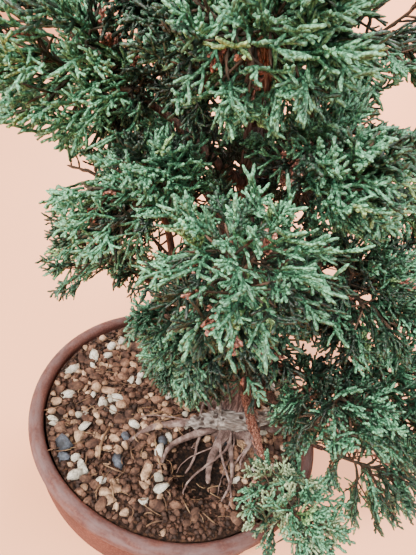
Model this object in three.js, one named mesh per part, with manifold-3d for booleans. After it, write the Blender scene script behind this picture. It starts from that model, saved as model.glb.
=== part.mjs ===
// A potted juniper bonsai: a shallow round clay pot filled with grit, a leaning trunk that stands on
// surface roots, tapering boughs, and a bushy crown of separate foliage masses.
// Millimetres, +Z up. The origin is the centre of the pot's flat underside, and the front is -Y.
import * as THREE from 'three';
import { mergeVertices } from 'three/addons/utils/BufferGeometryUtils.js';
import Module from 'manifold-3d';

const wasm = await Module();
wasm.setup();

// Pot and soil
const potHeight = 66;
const rim = { radius: 90, roll: 4, from: -50, to: 180, step: 46 }; // its round, and the degrees it covers
const floorThickness = 8;
const outerWall = [ // radius and height, from the underside up to the rim
  [0, 0],
  [60, 0],
  [62, 2.5],
  [72.5, 12],
  [80.5, 24],
  [85, 40],
  [86.6, 56],
];
const innerWall = [ // the same inside, from the rim down to the floor
  [rim.radius - 2 * rim.roll, potHeight - rim.roll],
  [81.2, 52],
  [79, 36],
  [72, 19],
  [58, floorThickness],
];
const drainHoles = { count: 3, radius: 5, ringRadius: 34, firstAzimuth: 30 };
const potClearance = 1; // kept between the pot and any foliage that hangs over it
const soilLevel = 60.5;
const soilEdgeDrop = 1.5;
const soilFlatRadius = 64;
const turnedSegments = 32;

// Clearance between neighbouring pieces
const gap = 0.3;
const cutClearance = 0.05; // added to the gap where one faceted limb is cut by another
const grid = 0.002; // corners lie on a grid this fine
const finestDetail = 0.35; // facets smaller than this are smoothed away after joining

// Trunk axis from the ground to the tip: height, x, y and radius at each station
const trunkStations = [
  [56, 35, 3, 16],
  [64, 35, 2, 14.5],
  [76, 34, 1, 11.5],
  [95, 31, 3, 10],
  [122, 23, 8, 8.8],
  [155, 14, 13, 7.4],
  [190, 6, 14, 6],
  [225, -1, 12, 4.7],
  [262, -7, 11, 3.4],
  [296, -9, 9, 2.2],
  [322, -10, 8, 1.3],
];
const trunkSides = 10;
const trunkSteps = 14;
const flute = { depth: 0.12, count: 5, twist: 2.4 }; // ribs of old wood that wind round the trunk

// Surface roots: azimuth in degrees, reach from the trunk axis, radius where they leave it, sideways bend
const surfaceRoots = [
  { azimuth: 216, reach: 68, radius: 3.8, bend: 10 },
  { azimuth: 238, reach: 58, radius: 3.4, bend: 12 },
  { azimuth: 264, reach: 46, radius: 4.4, bend: 5 },
  { azimuth: 266, reach: 54, radius: 2.2, bend: -8 },
  { azimuth: 165, reach: 44, radius: 4.4, bend: 6 },
  { azimuth: 80, reach: 40, radius: 4.8, bend: -5 },
  { azimuth: 15, reach: 42, radius: 5, bend: 6 },
  { azimuth: 325, reach: 38, radius: 4.4, bend: 5 },
];
const rootSpring = 11; // height above the soil at which the roots leave the trunk
const rootTaper = 0.68; // share of its radius that a root loses along its length
const rootPath = [ // share of the reach, height over the soil in root radii, share of the bend
  [0.28, 1.4, 0.2],
  [0.5, 0.55, 0.7],
  [0.76, 0.25, 1],
  [1, -0.15, 0.6],
];

// Weathered log across the front of the trunk's foot, from its left end to its right, and the short
// snag that stands on it
const deadwoodStations = [ // x, y and height
  [9, -15, 69],
  [21, -14, 74.5],
  [35, -11.5, 78],
  [49, -6, 79.5],
  [60, 0, 79],
];
const deadwoodRadius = { ends: 3.8, middle: 6.4 };
const knobs = { depth: 0.14, count: 3, twist: 5 };
const snag = { along: 0.3, top: [-3, 3, 18], radius: 2.8, taper: 0.5 }; // its top from its foot

// Boughs and the masses they carry. Each springs from the trunk at height `from`, or from the bough
// named in `on` at the share `at` of its length, and its mass is centred at azimuth (degrees), reach
// from the pot's axis and level above the ground. Girth is the bough's radius at its root, and rise the
// slope at which it leaves. Masses with no bough spring from the trunk itself.
const crownPlan = [
  { name: 'low_front', from: 96, azimuth: -43, reach: 90, level: 86, size: 33, girth: 3.4, rise: 0.1 },
  { name: 'low_far_right', from: 100, azimuth: -12, reach: 113, level: 86, size: 43, girth: 3.8, rise: 0.3 },
  { name: 'low_centre', from: 104, azimuth: -92, reach: 23, level: 131, size: 30, girth: 3, rise: 0.6 },
  { name: 'low_right_front', from: 112,
    azimuth: -33, reach: 78, level: 146, size: 41, girth: 4.2, rise: 0.4 },
  { name: 'right_front', on: 'low_right_front', at: 0.5,
    azimuth: -18, reach: 101, level: 144, size: 45, girth: 2.6, rise: 0.3 },
  { name: 'low_back_right', from: 118, azimuth: 48, reach: 86, level: 140, size: 48, girth: 4.6, rise: 0.3 },
  { name: 'low_back', from: 108, azimuth: 90, reach: 76, level: 128, size: 46, girth: 4.4, rise: 0.3 },
  { name: 'low_back_left', from: 126, azimuth: 131, reach: 78, level: 148, size: 48, girth: 4.4, rise: 0.3 },
  { name: 'low_left', from: 134, azimuth: 171, reach: 67, level: 153, size: 38, girth: 4.2, rise: 0.2 },
  { name: 'mid_left', on: 'low_left', at: 0.42,
    azimuth: 176, reach: 65, level: 199, size: 39, girth: 2.6, rise: 0.3 },
  { name: 'mid_centre', from: 152, azimuth: -93, reach: 41, level: 168, size: 37, girth: 3.2, rise: 0.5 },
  { name: 'centre', from: 138, azimuth: -60, reach: 42, level: 168, size: 38, girth: 3, rise: 0.6 },
  { name: 'right', from: 146, azimuth: 16, reach: 88, level: 178, size: 46, girth: 4, rise: 0.4 },
  { name: 'mid_right', from: 160, azimuth: -22, reach: 60, level: 190, size: 45, girth: 3.4, rise: 0.5 },
  { name: 'front', from: 172, azimuth: -84, reach: 56, level: 208, size: 47, girth: 3.6, rise: 0.5 },
  { name: 'front_left', on: 'front', at: 0.4,
    azimuth: -136, reach: 46, level: 214, size: 43, girth: 2.2, rise: 0.3 },
  { name: 'mid_front', from: 198, azimuth: -58, reach: 40, level: 240, size: 42, girth: 2.6, rise: 0.7 },
  { name: 'back', from: 166, azimuth: 88, reach: 72, level: 194, size: 48, girth: 3.6, rise: 0.4 },
  { name: 'back_left', from: 180, azimuth: 134, reach: 74, level: 208, size: 48, girth: 3.6, rise: 0.4 },
  { name: 'upper_right', from: 192, azimuth: 14, reach: 68, level: 227, size: 44, girth: 3.4, rise: 0.5 },
  { name: 'upper_back_right', from: 206, azimuth: 60, reach: 66, level: 247, size: 43, girth: 3, rise: 0.6 },
  { name: 'high_right', from: 234, azimuth: 38, reach: 37, level: 284, size: 40, girth: 2.4, rise: 0.7 },
  { name: 'upper_left', from: 212, azimuth: -163, reach: 75, level: 249, size: 46, girth: 3, rise: 0.4 },
  { name: 'high_left', from: 236, azimuth: 172, reach: 46, level: 284, size: 45, girth: 2.4, rise: 0.7 },
  { name: 'upper_back', from: 222, azimuth: 104, reach: 58, level: 264, size: 46, girth: 2.8, rise: 0.6 },
  { name: 'upper_front', from: 240, azimuth: -108, reach: 38, level: 276, size: 46, girth: 2.4, rise: 0.6 },
  { name: 'top_back', from: 282, azimuth: 75, reach: 26, level: 308, size: 42 },
  { name: 'top_front', from: 288, azimuth: -130, reach: 22, level: 314, size: 41 },
  { name: 'apex', from: 322, azimuth: 140, reach: 12, level: 336, size: 38 },
];
const boughSides = 5;
const boughSteps = 4;
const boughTipRadius = 1.3;
const boughLift = 0.25; // how much a bough's end turns up, as a slope
const boughBend = { start: 0.38, end: 0.34, sway: 0.22, sag: 0.04 }; // shares of the bough's length
const tipInMass = 0.56; // share of the mass's size by which a bough ends short of its centre

// Foliage rule: a stem with sprigs round it by the golden angle, each a twig that opens into a flat
// spray of cord-like shoots
const massFlatness = 0.9; // height of a mass over its width
const stemRadius = 1.3;
const stemTaper = 0.4;
const stemGap = 0.45; // from the bough's tip to where the stem's axis starts
const stemShare = 0.55; // of the room that a stem has
const stemSag = 0.06;
const sprigsPerMass = 7;
const sprigAttempts = 9;
const sprigLeanBack = -0.75; // cosine of the angle to the stem of the first sprig, and of the last
const sprigLeanForward = 0.95;
const sprigTurns = [1.3, 0.7, 1.7]; // how far each spray in turn bends away from its twig
const sprigDepth = 0.8; // how far a twig's root is sunk past the stem's axis
const twigRadius = 1;
const twigShare = 0.3; // of the room that a twig has
const spray = { length: 46, shortest: 16, fan: 175, palm: 0.35, heart: 0.22, curl: 0.5, thickness: 2.8 };
const fingers = { count: 6, jitter: 0.06, shortest: 0.85, longest: 1.05, outermost: 0.7, stub: 1.15 };
const mostOverlap = 3; // of a sprig inside its neighbours, in cubic millimetres
const goldenAngle = Math.PI * (3 - Math.sqrt(5));
const seedBase = 4172;

const materials = {
  clay: { color: 0x9a5d4c, roughness: 0.85 },
  soil: { color: 0x8a6247, roughness: 1 },
  bark: { color: 0x6f5048, roughness: 0.95 },
  deadwood: { color: 0x9b8f84, roughness: 0.9 },
  foliage: { color: 0x4f8268, roughness: 0.7 },
};

// Small helpers

const up = new THREE.Vector3(0, 0, 1);
const radians = THREE.MathUtils.degToRad;

function heading(azimuthDegrees, slope = 0) {
  const a = radians(azimuthDegrees);
  return new THREE.Vector3(Math.cos(a), Math.sin(a), slope).normalize();
}

function seededRandom(seed) {
  let state = seed >>> 0;
  return () => {
    state = (state + 0x6d2b79f5) >>> 0;
    let t = Math.imul(state ^ (state >>> 15), 1 | state);
    t = (t + Math.imul(t ^ (t >>> 7), 61 | t)) ^ t;
    return ((t ^ (t >>> 14)) >>> 0) / 4294967296;
  };
}

// Vertices and faces of a geometry once corners within the tolerance are one and flat slivers are gone.
function weldedFaces(geometry, tolerance) {
  const merged = mergeVertices(geometry, tolerance);
  const index = merged.index.array;
  const faces = [];
  for (let i = 0; i < index.length; i += 3) {
    const [a, b, c] = [index[i], index[i + 1], index[i + 2]];
    if (a !== b && b !== c && c !== a) faces.push(a, b, c);
  }
  return { positions: merged.attributes.position.array, faces };
}

function solidOf(positions, faces) {
  const mesh = { numProp: 3, vertProperties: new Float32Array(positions), triVerts: new Uint32Array(faces) };
  return new wasm.Manifold(new wasm.Mesh(mesh));
}

function toSolid(geometry) {
  const bare = geometry.clone();
  bare.deleteAttribute('normal');
  bare.deleteAttribute('uv');
  const { positions, faces } = weldedFaces(bare, 1e-4);
  return solidOf(positions, faces);
}

function fromVertices(points, faces) {
  const geometry = new THREE.BufferGeometry();
  const positions = points.flatMap((p) => [p.x, p.y, p.z]);
  geometry.setAttribute('position', new THREE.Float32BufferAttribute(positions, 3));
  geometry.setIndex(faces);
  return toSolid(geometry);
}

// The largest connected body, without the scraps and sealed hollows that joining can leave.
function mainBody(solid) {
  const bodies = solid.decompose();
  return bodies.reduce((best, body) => (body.volume() > best.volume() ? body : best));
}

// The same solid with its corners on a fine grid, or null where its faces then no longer close up,
// two to an edge, because two parts of the surface touch.
function settled(solid) {
  const { vertProperties, triVerts } = solid.getMesh();
  const geometry = new THREE.BufferGeometry();
  const onGrid = Float32Array.from(vertProperties, (value) => Math.round(value / grid) * grid);
  geometry.setAttribute('position', new THREE.BufferAttribute(onGrid, 3));
  geometry.setIndex(new THREE.BufferAttribute(new Uint32Array(triVerts), 1));
  const { positions, faces } = weldedFaces(geometry, grid / 2);
  const uses = new Map();
  for (let i = 0; i < faces.length; i += 3) {
    for (let k = 0; k < 3; k += 1) {
      const [from, to] = [faces[i + k], faces[i + ((k + 1) % 3)]];
      const edge = from < to ? `${from} ${to}` : `${to} ${from}`;
      uses.set(edge, (uses.get(edge) ?? 0) + 1);
    }
  }
  if ([...uses.values()].some((count) => count !== 2)) return null;
  return solidOf(positions, faces);
}

function turned(profile, segments = turnedSegments) {
  const points = profile.map(([r, z]) => new THREE.Vector2(r, z));
  return toSolid(new THREE.LatheGeometry(points, segments).rotateX(Math.PI / 2));
}

// A tapering limb along a curve. The radius is a function of the share of the length and the angle.
function limbSolid(curve, radiusAt, sides, steps) {
  const frames = curve.computeFrenetFrames(steps, false);
  const points = [];
  const faces = [];
  for (let i = 0; i <= steps; i += 1) {
    const centre = curve.getPointAt(i / steps);
    for (let j = 0; j < sides; j += 1) {
      const angle = (j / sides) * Math.PI * 2;
      const radius = radiusAt(i / steps, angle);
      const offset = frames.normals[i].clone().multiplyScalar(Math.cos(angle) * radius);
      offset.addScaledVector(frames.binormals[i], Math.sin(angle) * radius);
      points.push(centre.clone().add(offset));
    }
  }
  for (let i = 0; i < steps; i += 1) {
    for (let j = 0; j < sides; j += 1) {
      const a = i * sides + j;
      const b = i * sides + ((j + 1) % sides);
      faces.push(a, b, b + sides, a, b + sides, a + sides);
    }
  }
  const last = steps * sides;
  for (let j = 1; j < sides - 1; j += 1) faces.push(0, j + 1, j, last, last + j, last + j + 1);
  return fromVertices(points, faces);
}

// Pot and soil

function makePot() {
  const rolled = [];
  for (let degrees = rim.from; degrees <= rim.to; degrees += rim.step) {
    const a = radians(degrees);
    const centre = { radius: rim.radius - rim.roll, height: potHeight - rim.roll };
    rolled.push([centre.radius + rim.roll * Math.cos(a), centre.height + rim.roll * Math.sin(a)]);
  }
  const body = turned([...outerWall, ...rolled, ...innerWall.slice(1), [0, floorThickness]]);
  const holes = [];
  for (let i = 0; i < drainHoles.count; i += 1) {
    const place = heading((i * 360) / drainHoles.count + drainHoles.firstAzimuth);
    const drill = new THREE.CylinderGeometry(drainHoles.radius, drainHoles.radius, floorThickness * 3, 12);
    drill.rotateX(Math.PI / 2);
    drill.translate(place.x * drainHoles.ringRadius, place.y * drainHoles.ringRadius, 0);
    holes.push(toSolid(drill));
  }
  return holes.reduce((solid, hole) => solid.subtract(hole), body);
}

function makeSoil() {
  const bottom = floorThickness + gap;
  const wall = innerWall.map(([radius, height]) => [radius - 2 * gap, Math.max(height, bottom)]);
  wall[0][1] = soilLevel - soilEdgeDrop;
  return turned([[0, bottom], ...wall.reverse(), [soilFlatRadius, soilLevel], [0, soilLevel]]);
}

// Everything that the pot and its filling take up, a little larger, for foliage to keep clear of.
function potEnvelope() {
  const outside = [...outerWall.slice(1), [rim.radius, potHeight - 2 * rim.roll], [rim.radius, potHeight]];
  const grown = outside.map(([radius, height]) => [radius + potClearance, height]);
  return turned([[0, 0], ...grown, [rim.radius, potHeight + potClearance], [0, potHeight + potClearance]]);
}

// Trunk, roots and deadwood

const trunkCurve = new THREE.CatmullRomCurve3(trunkStations.map(([z, x, y]) => new THREE.Vector3(x, y, z)));

function trunkRadius(share) {
  const z = trunkCurve.getPointAt(share).z;
  const next = trunkStations.findIndex((station) => station[0] >= z);
  if (next <= 0) return trunkStations[0][3];
  const [lowZ, , , lowRadius] = trunkStations[next - 1];
  const [highZ, , , highRadius] = trunkStations[next];
  return lowRadius + ((highRadius - lowRadius) * (z - lowZ)) / (highZ - lowZ);
}

function trunkShareAt(height) {
  let low = 0;
  let high = 1;
  for (let i = 0; i < 30; i += 1) {
    const middle = (low + high) / 2;
    if (trunkCurve.getPointAt(middle).z < height) low = middle;
    else high = middle;
  }
  return low;
}

function makeTrunkBody(growth) {
  const ribbed = (share, angle) => {
    const rib = Math.cos(flute.count * angle + flute.twist * share * Math.PI * 2);
    const depth = flute.depth * (1 - share);
    return trunkRadius(share) * (1 + depth * rib) + growth;
  };
  return limbSolid(trunkCurve, ribbed, trunkSides, trunkSteps);
}

function makeRoot({ azimuth, reach, radius, bend }, growth) {
  const foot = trunkCurve.getPointAt(trunkShareAt(soilLevel + rootSpring));
  const out = heading(azimuth);
  const side = out.clone().cross(up).multiplyScalar(bend);
  const stations = rootPath.map(([share, height, sideShare]) => {
    const point = foot.clone().addScaledVector(out, reach * share).addScaledVector(side, sideShare);
    return point.setZ(soilLevel + height * radius);
  });
  const path = new THREE.CatmullRomCurve3([foot.clone().addScaledVector(out, 2), ...stations]);
  return limbSolid(path, (share) => radius * (1 - rootTaper * share) + growth, 5, 4);
}

function makeTrunk(growth) {
  const roots = surfaceRoots.map((root) => makeRoot(root, growth));
  const whole = roots.reduce((solid, root) => solid.add(root), makeTrunkBody(growth));
  return mainBody(whole.trimByPlane([0, 0, 1], soilLevel + gap - growth));
}

function makeDeadwood() {
  const path = new THREE.CatmullRomCurve3(deadwoodStations.map((station) => new THREE.Vector3(...station)));
  const knobbly = (share, angle) => {
    const knob = 1 + knobs.depth * Math.cos(knobs.count * angle + knobs.twist * share);
    const { ends, middle } = deadwoodRadius;
    return THREE.MathUtils.lerp(ends, middle, Math.sin(share * Math.PI)) * knob;
  };
  const foot = path.getPointAt(snag.along);
  const snagPath = new THREE.LineCurve3(foot, foot.clone().add(new THREE.Vector3(...snag.top)));
  const standing = limbSolid(snagPath, (share) => snag.radius * (1 - snag.taper * share), 6, 2);
  const whole = limbSolid(path, knobbly, 8, 6).add(standing);
  return mainBody(whole.subtract(makeTrunk(gap + cutClearance)));
}

// Boughs

function massCentre({ azimuth, reach, level }) {
  return heading(azimuth).multiplyScalar(reach).setZ(level);
}

// Where a limb springs: the point on the axis of the trunk, or of the bough that bears it.
function springPoint({ from, on, at }, boughs) {
  if (on) return boughs.get(on).curve.getPointAt(at);
  return trunkCurve.getPointAt(trunkShareAt(from));
}

function makeBough(entry, boughs, random) {
  const start = springPoint(entry, boughs);
  const centre = massCentre(entry);
  const level = new THREE.Vector3(centre.x - start.x, centre.y - start.y, 0).normalize();
  const endHeading = level.clone().setZ(boughLift).normalize();
  const tip = centre.clone().addScaledVector(endHeading, -tipInMass * entry.size);
  const length = start.distanceTo(tip);
  const startHeading = level.clone().setZ(entry.rise).normalize();
  const side = level.clone().cross(up).multiplyScalar((random() - 0.5) * boughBend.sway * length);
  const leaving = start.clone().addScaledVector(startHeading, boughBend.start * length).add(side);
  const arriving = tip.clone().addScaledVector(endHeading, -boughBend.end * length).sub(side);
  arriving.addScaledVector(up, -boughBend.sag * length);
  const curve = new THREE.CubicBezierCurve3(start, leaving, arriving, tip);
  const taper = (growth) => (share) => entry.girth * (1 - share) + boughTipRadius * share + growth;
  const build = (growth) => limbSolid(curve, taper(growth), boughSides, boughSteps);
  return { curve, build, tip, endHeading };
}

function makeBoughs(random) {
  const boughs = new Map();
  const trunkClear = makeTrunk(gap + cutClearance);
  for (const entry of crownPlan.filter((planned) => planned.girth)) {
    const bough = makeBough(entry, boughs, random);
    const parentClear = entry.on ? boughs.get(entry.on).build(gap + cutClearance) : trunkClear;
    bough.solid = mainBody(bough.build(0).subtract(parentClear));
    boughs.set(entry.name, bough);
  }
  return boughs;
}

// Foliage

// The space of each mass: an ellipsoid, cut off by flat planes half way to its neighbours, so that
// everything inside it is clear of every other mass.
function makeSpaces() {
  const spaces = crownPlan.map((entry) => ({ ...entry, centre: massCentre(entry) }));
  for (const space of spaces) {
    const others = spaces.filter((other) => other !== space);
    space.holds = (point) => {
      const offset = point.clone().sub(space.centre);
      const height = offset.z / massFlatness;
      if (Math.hypot(offset.x, offset.y, height) > space.size) return false;
      return others.every((other) => {
        const between = other.centre.clone().sub(space.centre);
        const distance = between.length();
        const plane = (distance ** 2 + space.size ** 2 - other.size ** 2) / (2 * distance);
        return offset.dot(between) / distance < plane - gap;
      });
    };
  }
  return new Map(spaces.map((space) => [space.name, space]));
}

function stemCurve(start, direction, length) {
  const end = start.clone().addScaledVector(direction, length);
  const middle = start.clone().lerp(end, 0.5).addScaledVector(up, -stemSag * length);
  return new THREE.QuadraticBezierCurve3(start, middle, end);
}

// How far a straight line from a point runs until it leaves the space for good.
function roomAlong(space, start, direction) {
  const step = 2;
  let room = 0;
  for (let reach = step; reach < 3 * space.size; reach += step) {
    if (space.holds(start.clone().addScaledVector(direction, reach))) room = reach;
  }
  return room;
}

// Corners of a flat spray seen from above, from its right side round to its left: finger tips with
// notches between them, each finger as long as its space has room for.
function sprayOutline(space, heart, length, { ahead, across, normal }, random) {
  const from = (angle, reach, lift) => heart
    .clone()
    .addScaledVector(ahead, reach * Math.cos(angle))
    .addScaledVector(across, reach * Math.sin(angle))
    .addScaledVector(normal, reach * lift);
  const palm = spray.palm * length;
  const outline = [];
  for (let i = 0; i < fingers.count; i += 1) {
    const middle = i / (fingers.count - 1) - 0.5;
    const angle = radians(spray.fan * (middle + (random() - 0.5) * fingers.jitter));
    const lift = (random() - 0.5) * spray.curl;
    const fullness = THREE.MathUtils.lerp(fingers.shortest, fingers.longest, random());
    const wanted = length * fullness * THREE.MathUtils.lerp(1, fingers.outermost, 2 * Math.abs(middle));
    const room = roomAlong(space, heart, from(angle, 1, lift).sub(heart).normalize());
    outline.push(from(angle, Math.max(Math.min(wanted, room - 1), palm * fingers.stub), lift));
    const notch = radians(spray.fan * (middle + 0.5 / (fingers.count - 1)));
    if (i < fingers.count - 1) outline.push(from(notch, palm, 0));
  }
  return outline;
}

// A three-sided twig that opens into a flat spray of shoots, as one closed solid.
function makeSprig(space, twig, sprayDirection, facing, random) {
  const across = facing.clone().cross(sprayDirection).normalize();
  const normal = sprayDirection.clone().cross(across).normalize();
  const axes = { ahead: sprayDirection, across, normal };
  const end = twig.root.clone().addScaledVector(twig.direction, twig.length);
  const room = roomAlong(space, end, sprayDirection);
  const length = Math.min(spray.length, Math.max(room, spray.shortest));
  const heart = end.clone().addScaledVector(sprayDirection, spray.heart * length);
  const ring = (centre, radius) => [
    centre.clone().addScaledVector(across, radius),
    centre.clone().addScaledVector(normal, radius),
    centre.clone().addScaledVector(across, -radius),
  ];
  const [rootLeft, rootTop, rootRight, endLeft, endTop, endRight] = [0, 1, 2, 3, 4, 5];
  const sunk = twig.root.clone().addScaledVector(twig.direction, -sprigDepth);
  const points = [...ring(sunk, twigRadius), ...ring(end, twigRadius * 0.9)];
  const outline = sprayOutline(space, heart, length * (1 - spray.heart), axes, random);
  const loop = [endRight, ...outline.map((_, i) => points.length + i), endLeft];
  points.push(...outline);
  const above = points.push(heart.clone().addScaledVector(normal, spray.thickness / 2)) - 1;
  const below = points.push(heart.clone().addScaledVector(normal, -spray.thickness / 2)) - 1;
  const faces = [rootTop, rootLeft, rootRight, endRight, endLeft, below];
  faces.push(endLeft, endTop, above, endTop, endRight, above);
  faces.push(endTop, endLeft, rootLeft, endTop, rootLeft, rootTop);
  faces.push(endRight, endTop, rootTop, endRight, rootTop, rootRight);
  faces.push(endLeft, endRight, rootRight, endLeft, rootRight, rootLeft);
  for (let i = 0; i < loop.length - 1; i += 1) {
    faces.push(loop[i], loop[i + 1], above, loop[i + 1], loop[i], below);
  }
  return { points, solid: fromVertices(points, faces) };
}

// One mass: a stem from the bough's tip or the trunk, with sprigs all round it. A sprig that would
// leave the space, touch a limb or crowd its neighbours is turned, and in the end left out.
function makeMass(space, stemStart, stemHeading, obstacles, random) {
  const stem = stemCurve(stemStart, stemHeading, roomAlong(space, stemStart, stemHeading) * stemShare);
  const stemSolid = limbSolid(stem, (share) => stemRadius * (1 - stemTaper * share), 3, 2);
  let whole = mainBody(stemSolid.subtract(obstacles));

  const addSprig = (root, direction, turn) => {
    const twigLength = roomAlong(space, root, direction) * twigShare;
    for (let attempt = 0; attempt < sprigAttempts; attempt += 1) {
      const sideways = direction.clone().cross(heading(random() * 360, 2 * random() - 1)).normalize();
      const sprayDirection = direction.clone().addScaledVector(sideways, turn).normalize();
      const facing = direction.clone().addScaledVector(heading(random() * 360, random()), 0.5);
      const twig = { root, direction, length: twigLength };
      const { points, solid } = makeSprig(space, twig, sprayDirection, facing, random);
      const inside = points.slice(3).every((point) => space.holds(point));
      if (!inside || !solid.intersect(obstacles).isEmpty()) continue;
      if (whole.intersect(solid).volume() > mostOverlap) continue;
      const joined = settled(mainBody(whole.add(solid).simplify(finestDetail)));
      if (!joined) continue;
      whole = joined;
      return;
    }
  };

  const spin = random() * Math.PI * 2;
  for (let i = 0; i < sprigsPerMass; i += 1) {
    const share = (i + 0.5) / sprigsPerMass;
    const along = stem.getTangentAt(share);
    const side = along.clone().cross(up).normalize().applyAxisAngle(along, spin + i * goldenAngle);
    const lean = Math.acos(THREE.MathUtils.lerp(sprigLeanBack, sprigLeanForward, share));
    const direction = along.clone().multiplyScalar(Math.cos(lean)).addScaledVector(side, Math.sin(lean));
    addSprig(stem.getPointAt(0.2 + 0.75 * share), direction.normalize(), sprigTurns[i % sprigTurns.length]);
  }
  return whole;
}

// Assembly

const bonsai = new THREE.Group();

function addPiece(name, solid, look) {
  const { vertProperties, triVerts } = settled(solid).getMesh();
  const geometry = new THREE.BufferGeometry();
  geometry.setAttribute('position', new THREE.BufferAttribute(new Float32Array(vertProperties), 3));
  geometry.setIndex(new THREE.BufferAttribute(new Uint32Array(triVerts), 1));
  geometry.computeVertexNormals();
  const mesh = new THREE.Mesh(geometry, new THREE.MeshStandardMaterial({ ...look, metalness: 0 }));
  mesh.name = name;
  bonsai.add(mesh);
}

const boughs = makeBoughs(seededRandom(seedBase));
const deadwoodSolid = makeDeadwood();
addPiece('pot', makePot(), materials.clay);
addPiece('soil', makeSoil(), materials.soil);
addPiece('trunk', makeTrunk(0), materials.bark);
addPiece('deadwood_stub', deadwoodSolid, materials.deadwood);
for (const [name, bough] of boughs) addPiece(`bough_${name}`, bough.solid, materials.bark);

const obstacles = [...boughs.values()].reduce(
  (solid, bough) => solid.add(bough.build(gap)),
  makeTrunk(gap).add(deadwoodSolid).add(potEnvelope()),
);
const spaces = makeSpaces();
crownPlan.forEach((entry, i) => {
  const random = seededRandom(seedBase + 101 * (i + 1));
  const bough = boughs.get(entry.name);
  const space = spaces.get(entry.name);
  const onTrunk = springPoint(entry, boughs);
  const stemHeading = bough ? bough.endHeading : space.centre.clone().sub(onTrunk).normalize();
  const stemStart = bough ? bough.tip.clone().addScaledVector(stemHeading, stemGap) : onTrunk;
  const mass = makeMass(space, stemStart, stemHeading, obstacles, random);
  addPiece(`foliage_${entry.name}`, mass, materials.foliage);
});

export default bonsai;
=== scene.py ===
# Potted juniper bonsai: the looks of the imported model, seen as in the photograph.
import math
import bpy
import numpy as np
from mathutils import Matrix, Vector


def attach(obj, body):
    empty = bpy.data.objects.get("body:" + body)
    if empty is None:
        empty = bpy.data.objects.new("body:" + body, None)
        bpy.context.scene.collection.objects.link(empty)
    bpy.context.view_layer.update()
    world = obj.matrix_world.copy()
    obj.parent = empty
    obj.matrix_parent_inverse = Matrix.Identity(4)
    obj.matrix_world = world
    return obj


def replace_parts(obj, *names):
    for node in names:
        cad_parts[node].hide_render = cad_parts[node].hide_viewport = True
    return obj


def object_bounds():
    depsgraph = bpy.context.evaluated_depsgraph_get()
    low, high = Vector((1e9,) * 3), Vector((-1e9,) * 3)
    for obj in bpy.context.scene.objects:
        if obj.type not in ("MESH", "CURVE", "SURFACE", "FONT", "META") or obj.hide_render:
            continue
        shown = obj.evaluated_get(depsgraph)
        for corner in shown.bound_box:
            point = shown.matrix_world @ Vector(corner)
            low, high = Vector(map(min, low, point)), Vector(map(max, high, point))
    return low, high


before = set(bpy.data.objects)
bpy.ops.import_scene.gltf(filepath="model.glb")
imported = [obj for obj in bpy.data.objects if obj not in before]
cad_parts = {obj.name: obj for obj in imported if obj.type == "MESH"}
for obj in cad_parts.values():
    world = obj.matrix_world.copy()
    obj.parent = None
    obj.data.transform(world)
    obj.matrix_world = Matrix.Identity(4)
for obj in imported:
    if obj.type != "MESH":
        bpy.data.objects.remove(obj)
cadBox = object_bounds()
mm = 0.001
fullTurn = 2 * math.pi
goldenAngle = math.pi * (3 - math.sqrt(5))
upward = np.array([0.0, 0.0, 1.0])


# Vectors and paths, all in millimetres

def unit(v):
    return v / np.maximum(np.linalg.norm(v, axis=-1, keepdims=True), 1e-9)


def heading(azimuth, slope=0.0):
    a = math.radians(azimuth)
    return unit(np.array([math.cos(a), math.sin(a), slope]))


def inward(v):
    # toward the middle of the pot, level
    return -unit(v * np.array([1, 1, 0]))


def across(v):
    # a direction square to each of the given ones
    spare = np.where(np.abs(v[..., 2:3]) < 0.9, upward, np.array([1.0, 0.0, 0.0]))
    return unit(np.cross(v, spare))


def turned(v, axis, angle):
    # v turned about an axis, both arrays of vectors
    c, s = np.cos(angle)[..., None], np.sin(angle)[..., None]
    along = np.sum(v * axis, axis=-1, keepdims=True)
    return v * c + np.cross(axis, v) * s + axis * along * (1 - c)


def smoothPath(stations, perSpan=14):
    # a smooth line through the stations
    points = np.array(stations, float)
    padded = np.vstack([2 * points[0] - points[1], points, 2 * points[-1] - points[-2]])
    share = np.linspace(0, 1, perSpan, endpoint=False)[:, None]
    spans = []
    for a, b, c, d in zip(padded, padded[1:], padded[2:], padded[3:]):
        k0, k1, k2 = [max(np.linalg.norm(q - p), 1e-6) ** 0.5 for p, q in ((a, b), (b, c), (c, d))]
        leave = ((b - a) / k0 - (c - a) / (k0 + k1) + (c - b) / k1) * k1
        arrive = ((c - b) / k1 - (d - b) / (k1 + k2) + (d - c) / k2) * k1
        spans.append(b + leave * share + (3 * (c - b) - 2 * leave - arrive) * share ** 2
                     + (2 * (b - c) + leave + arrive) * share ** 3)
    return np.vstack(spans + [points[-1:]])


def bezier(controls, count):
    # points on the curve that these control points pull
    share = np.linspace(0, 1, count)[:, None]
    points = [np.asarray(control, float) for control in controls]
    while len(points) > 1:
        points = [a + (b - a) * share for a, b in zip(points, points[1:])]
    return points[0]


def lengthsAlong(path):
    return np.concatenate([[0], np.cumsum(np.linalg.norm(np.diff(path, axis=0), axis=1))])


def sharesAlong(path):
    lengths = lengthsAlong(path)
    return lengths / lengths[-1]


def pointsAt(path, shares):
    lengths = lengthsAlong(path)
    wanted = np.asarray(shares) * lengths[-1]
    return np.stack([np.interp(wanted, lengths, path[:, k]) for k in range(3)], axis=-1)


def seededRandom(seed):
    # the same small generator as the source's, so that the boughs sway alike
    state = seed
    while True:
        state = (state + 0x6D2B79F5) & 0xFFFFFFFF
        t = ((state ^ (state >> 15)) * (1 | state)) & 0xFFFFFFFF
        t = ((t + (((t ^ (t >> 7)) * (61 | t)) & 0xFFFFFFFF)) & 0xFFFFFFFF) ^ t
        yield ((t ^ (t >> 14)) & 0xFFFFFFFF) / 4294967296


# Objects and materials

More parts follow.
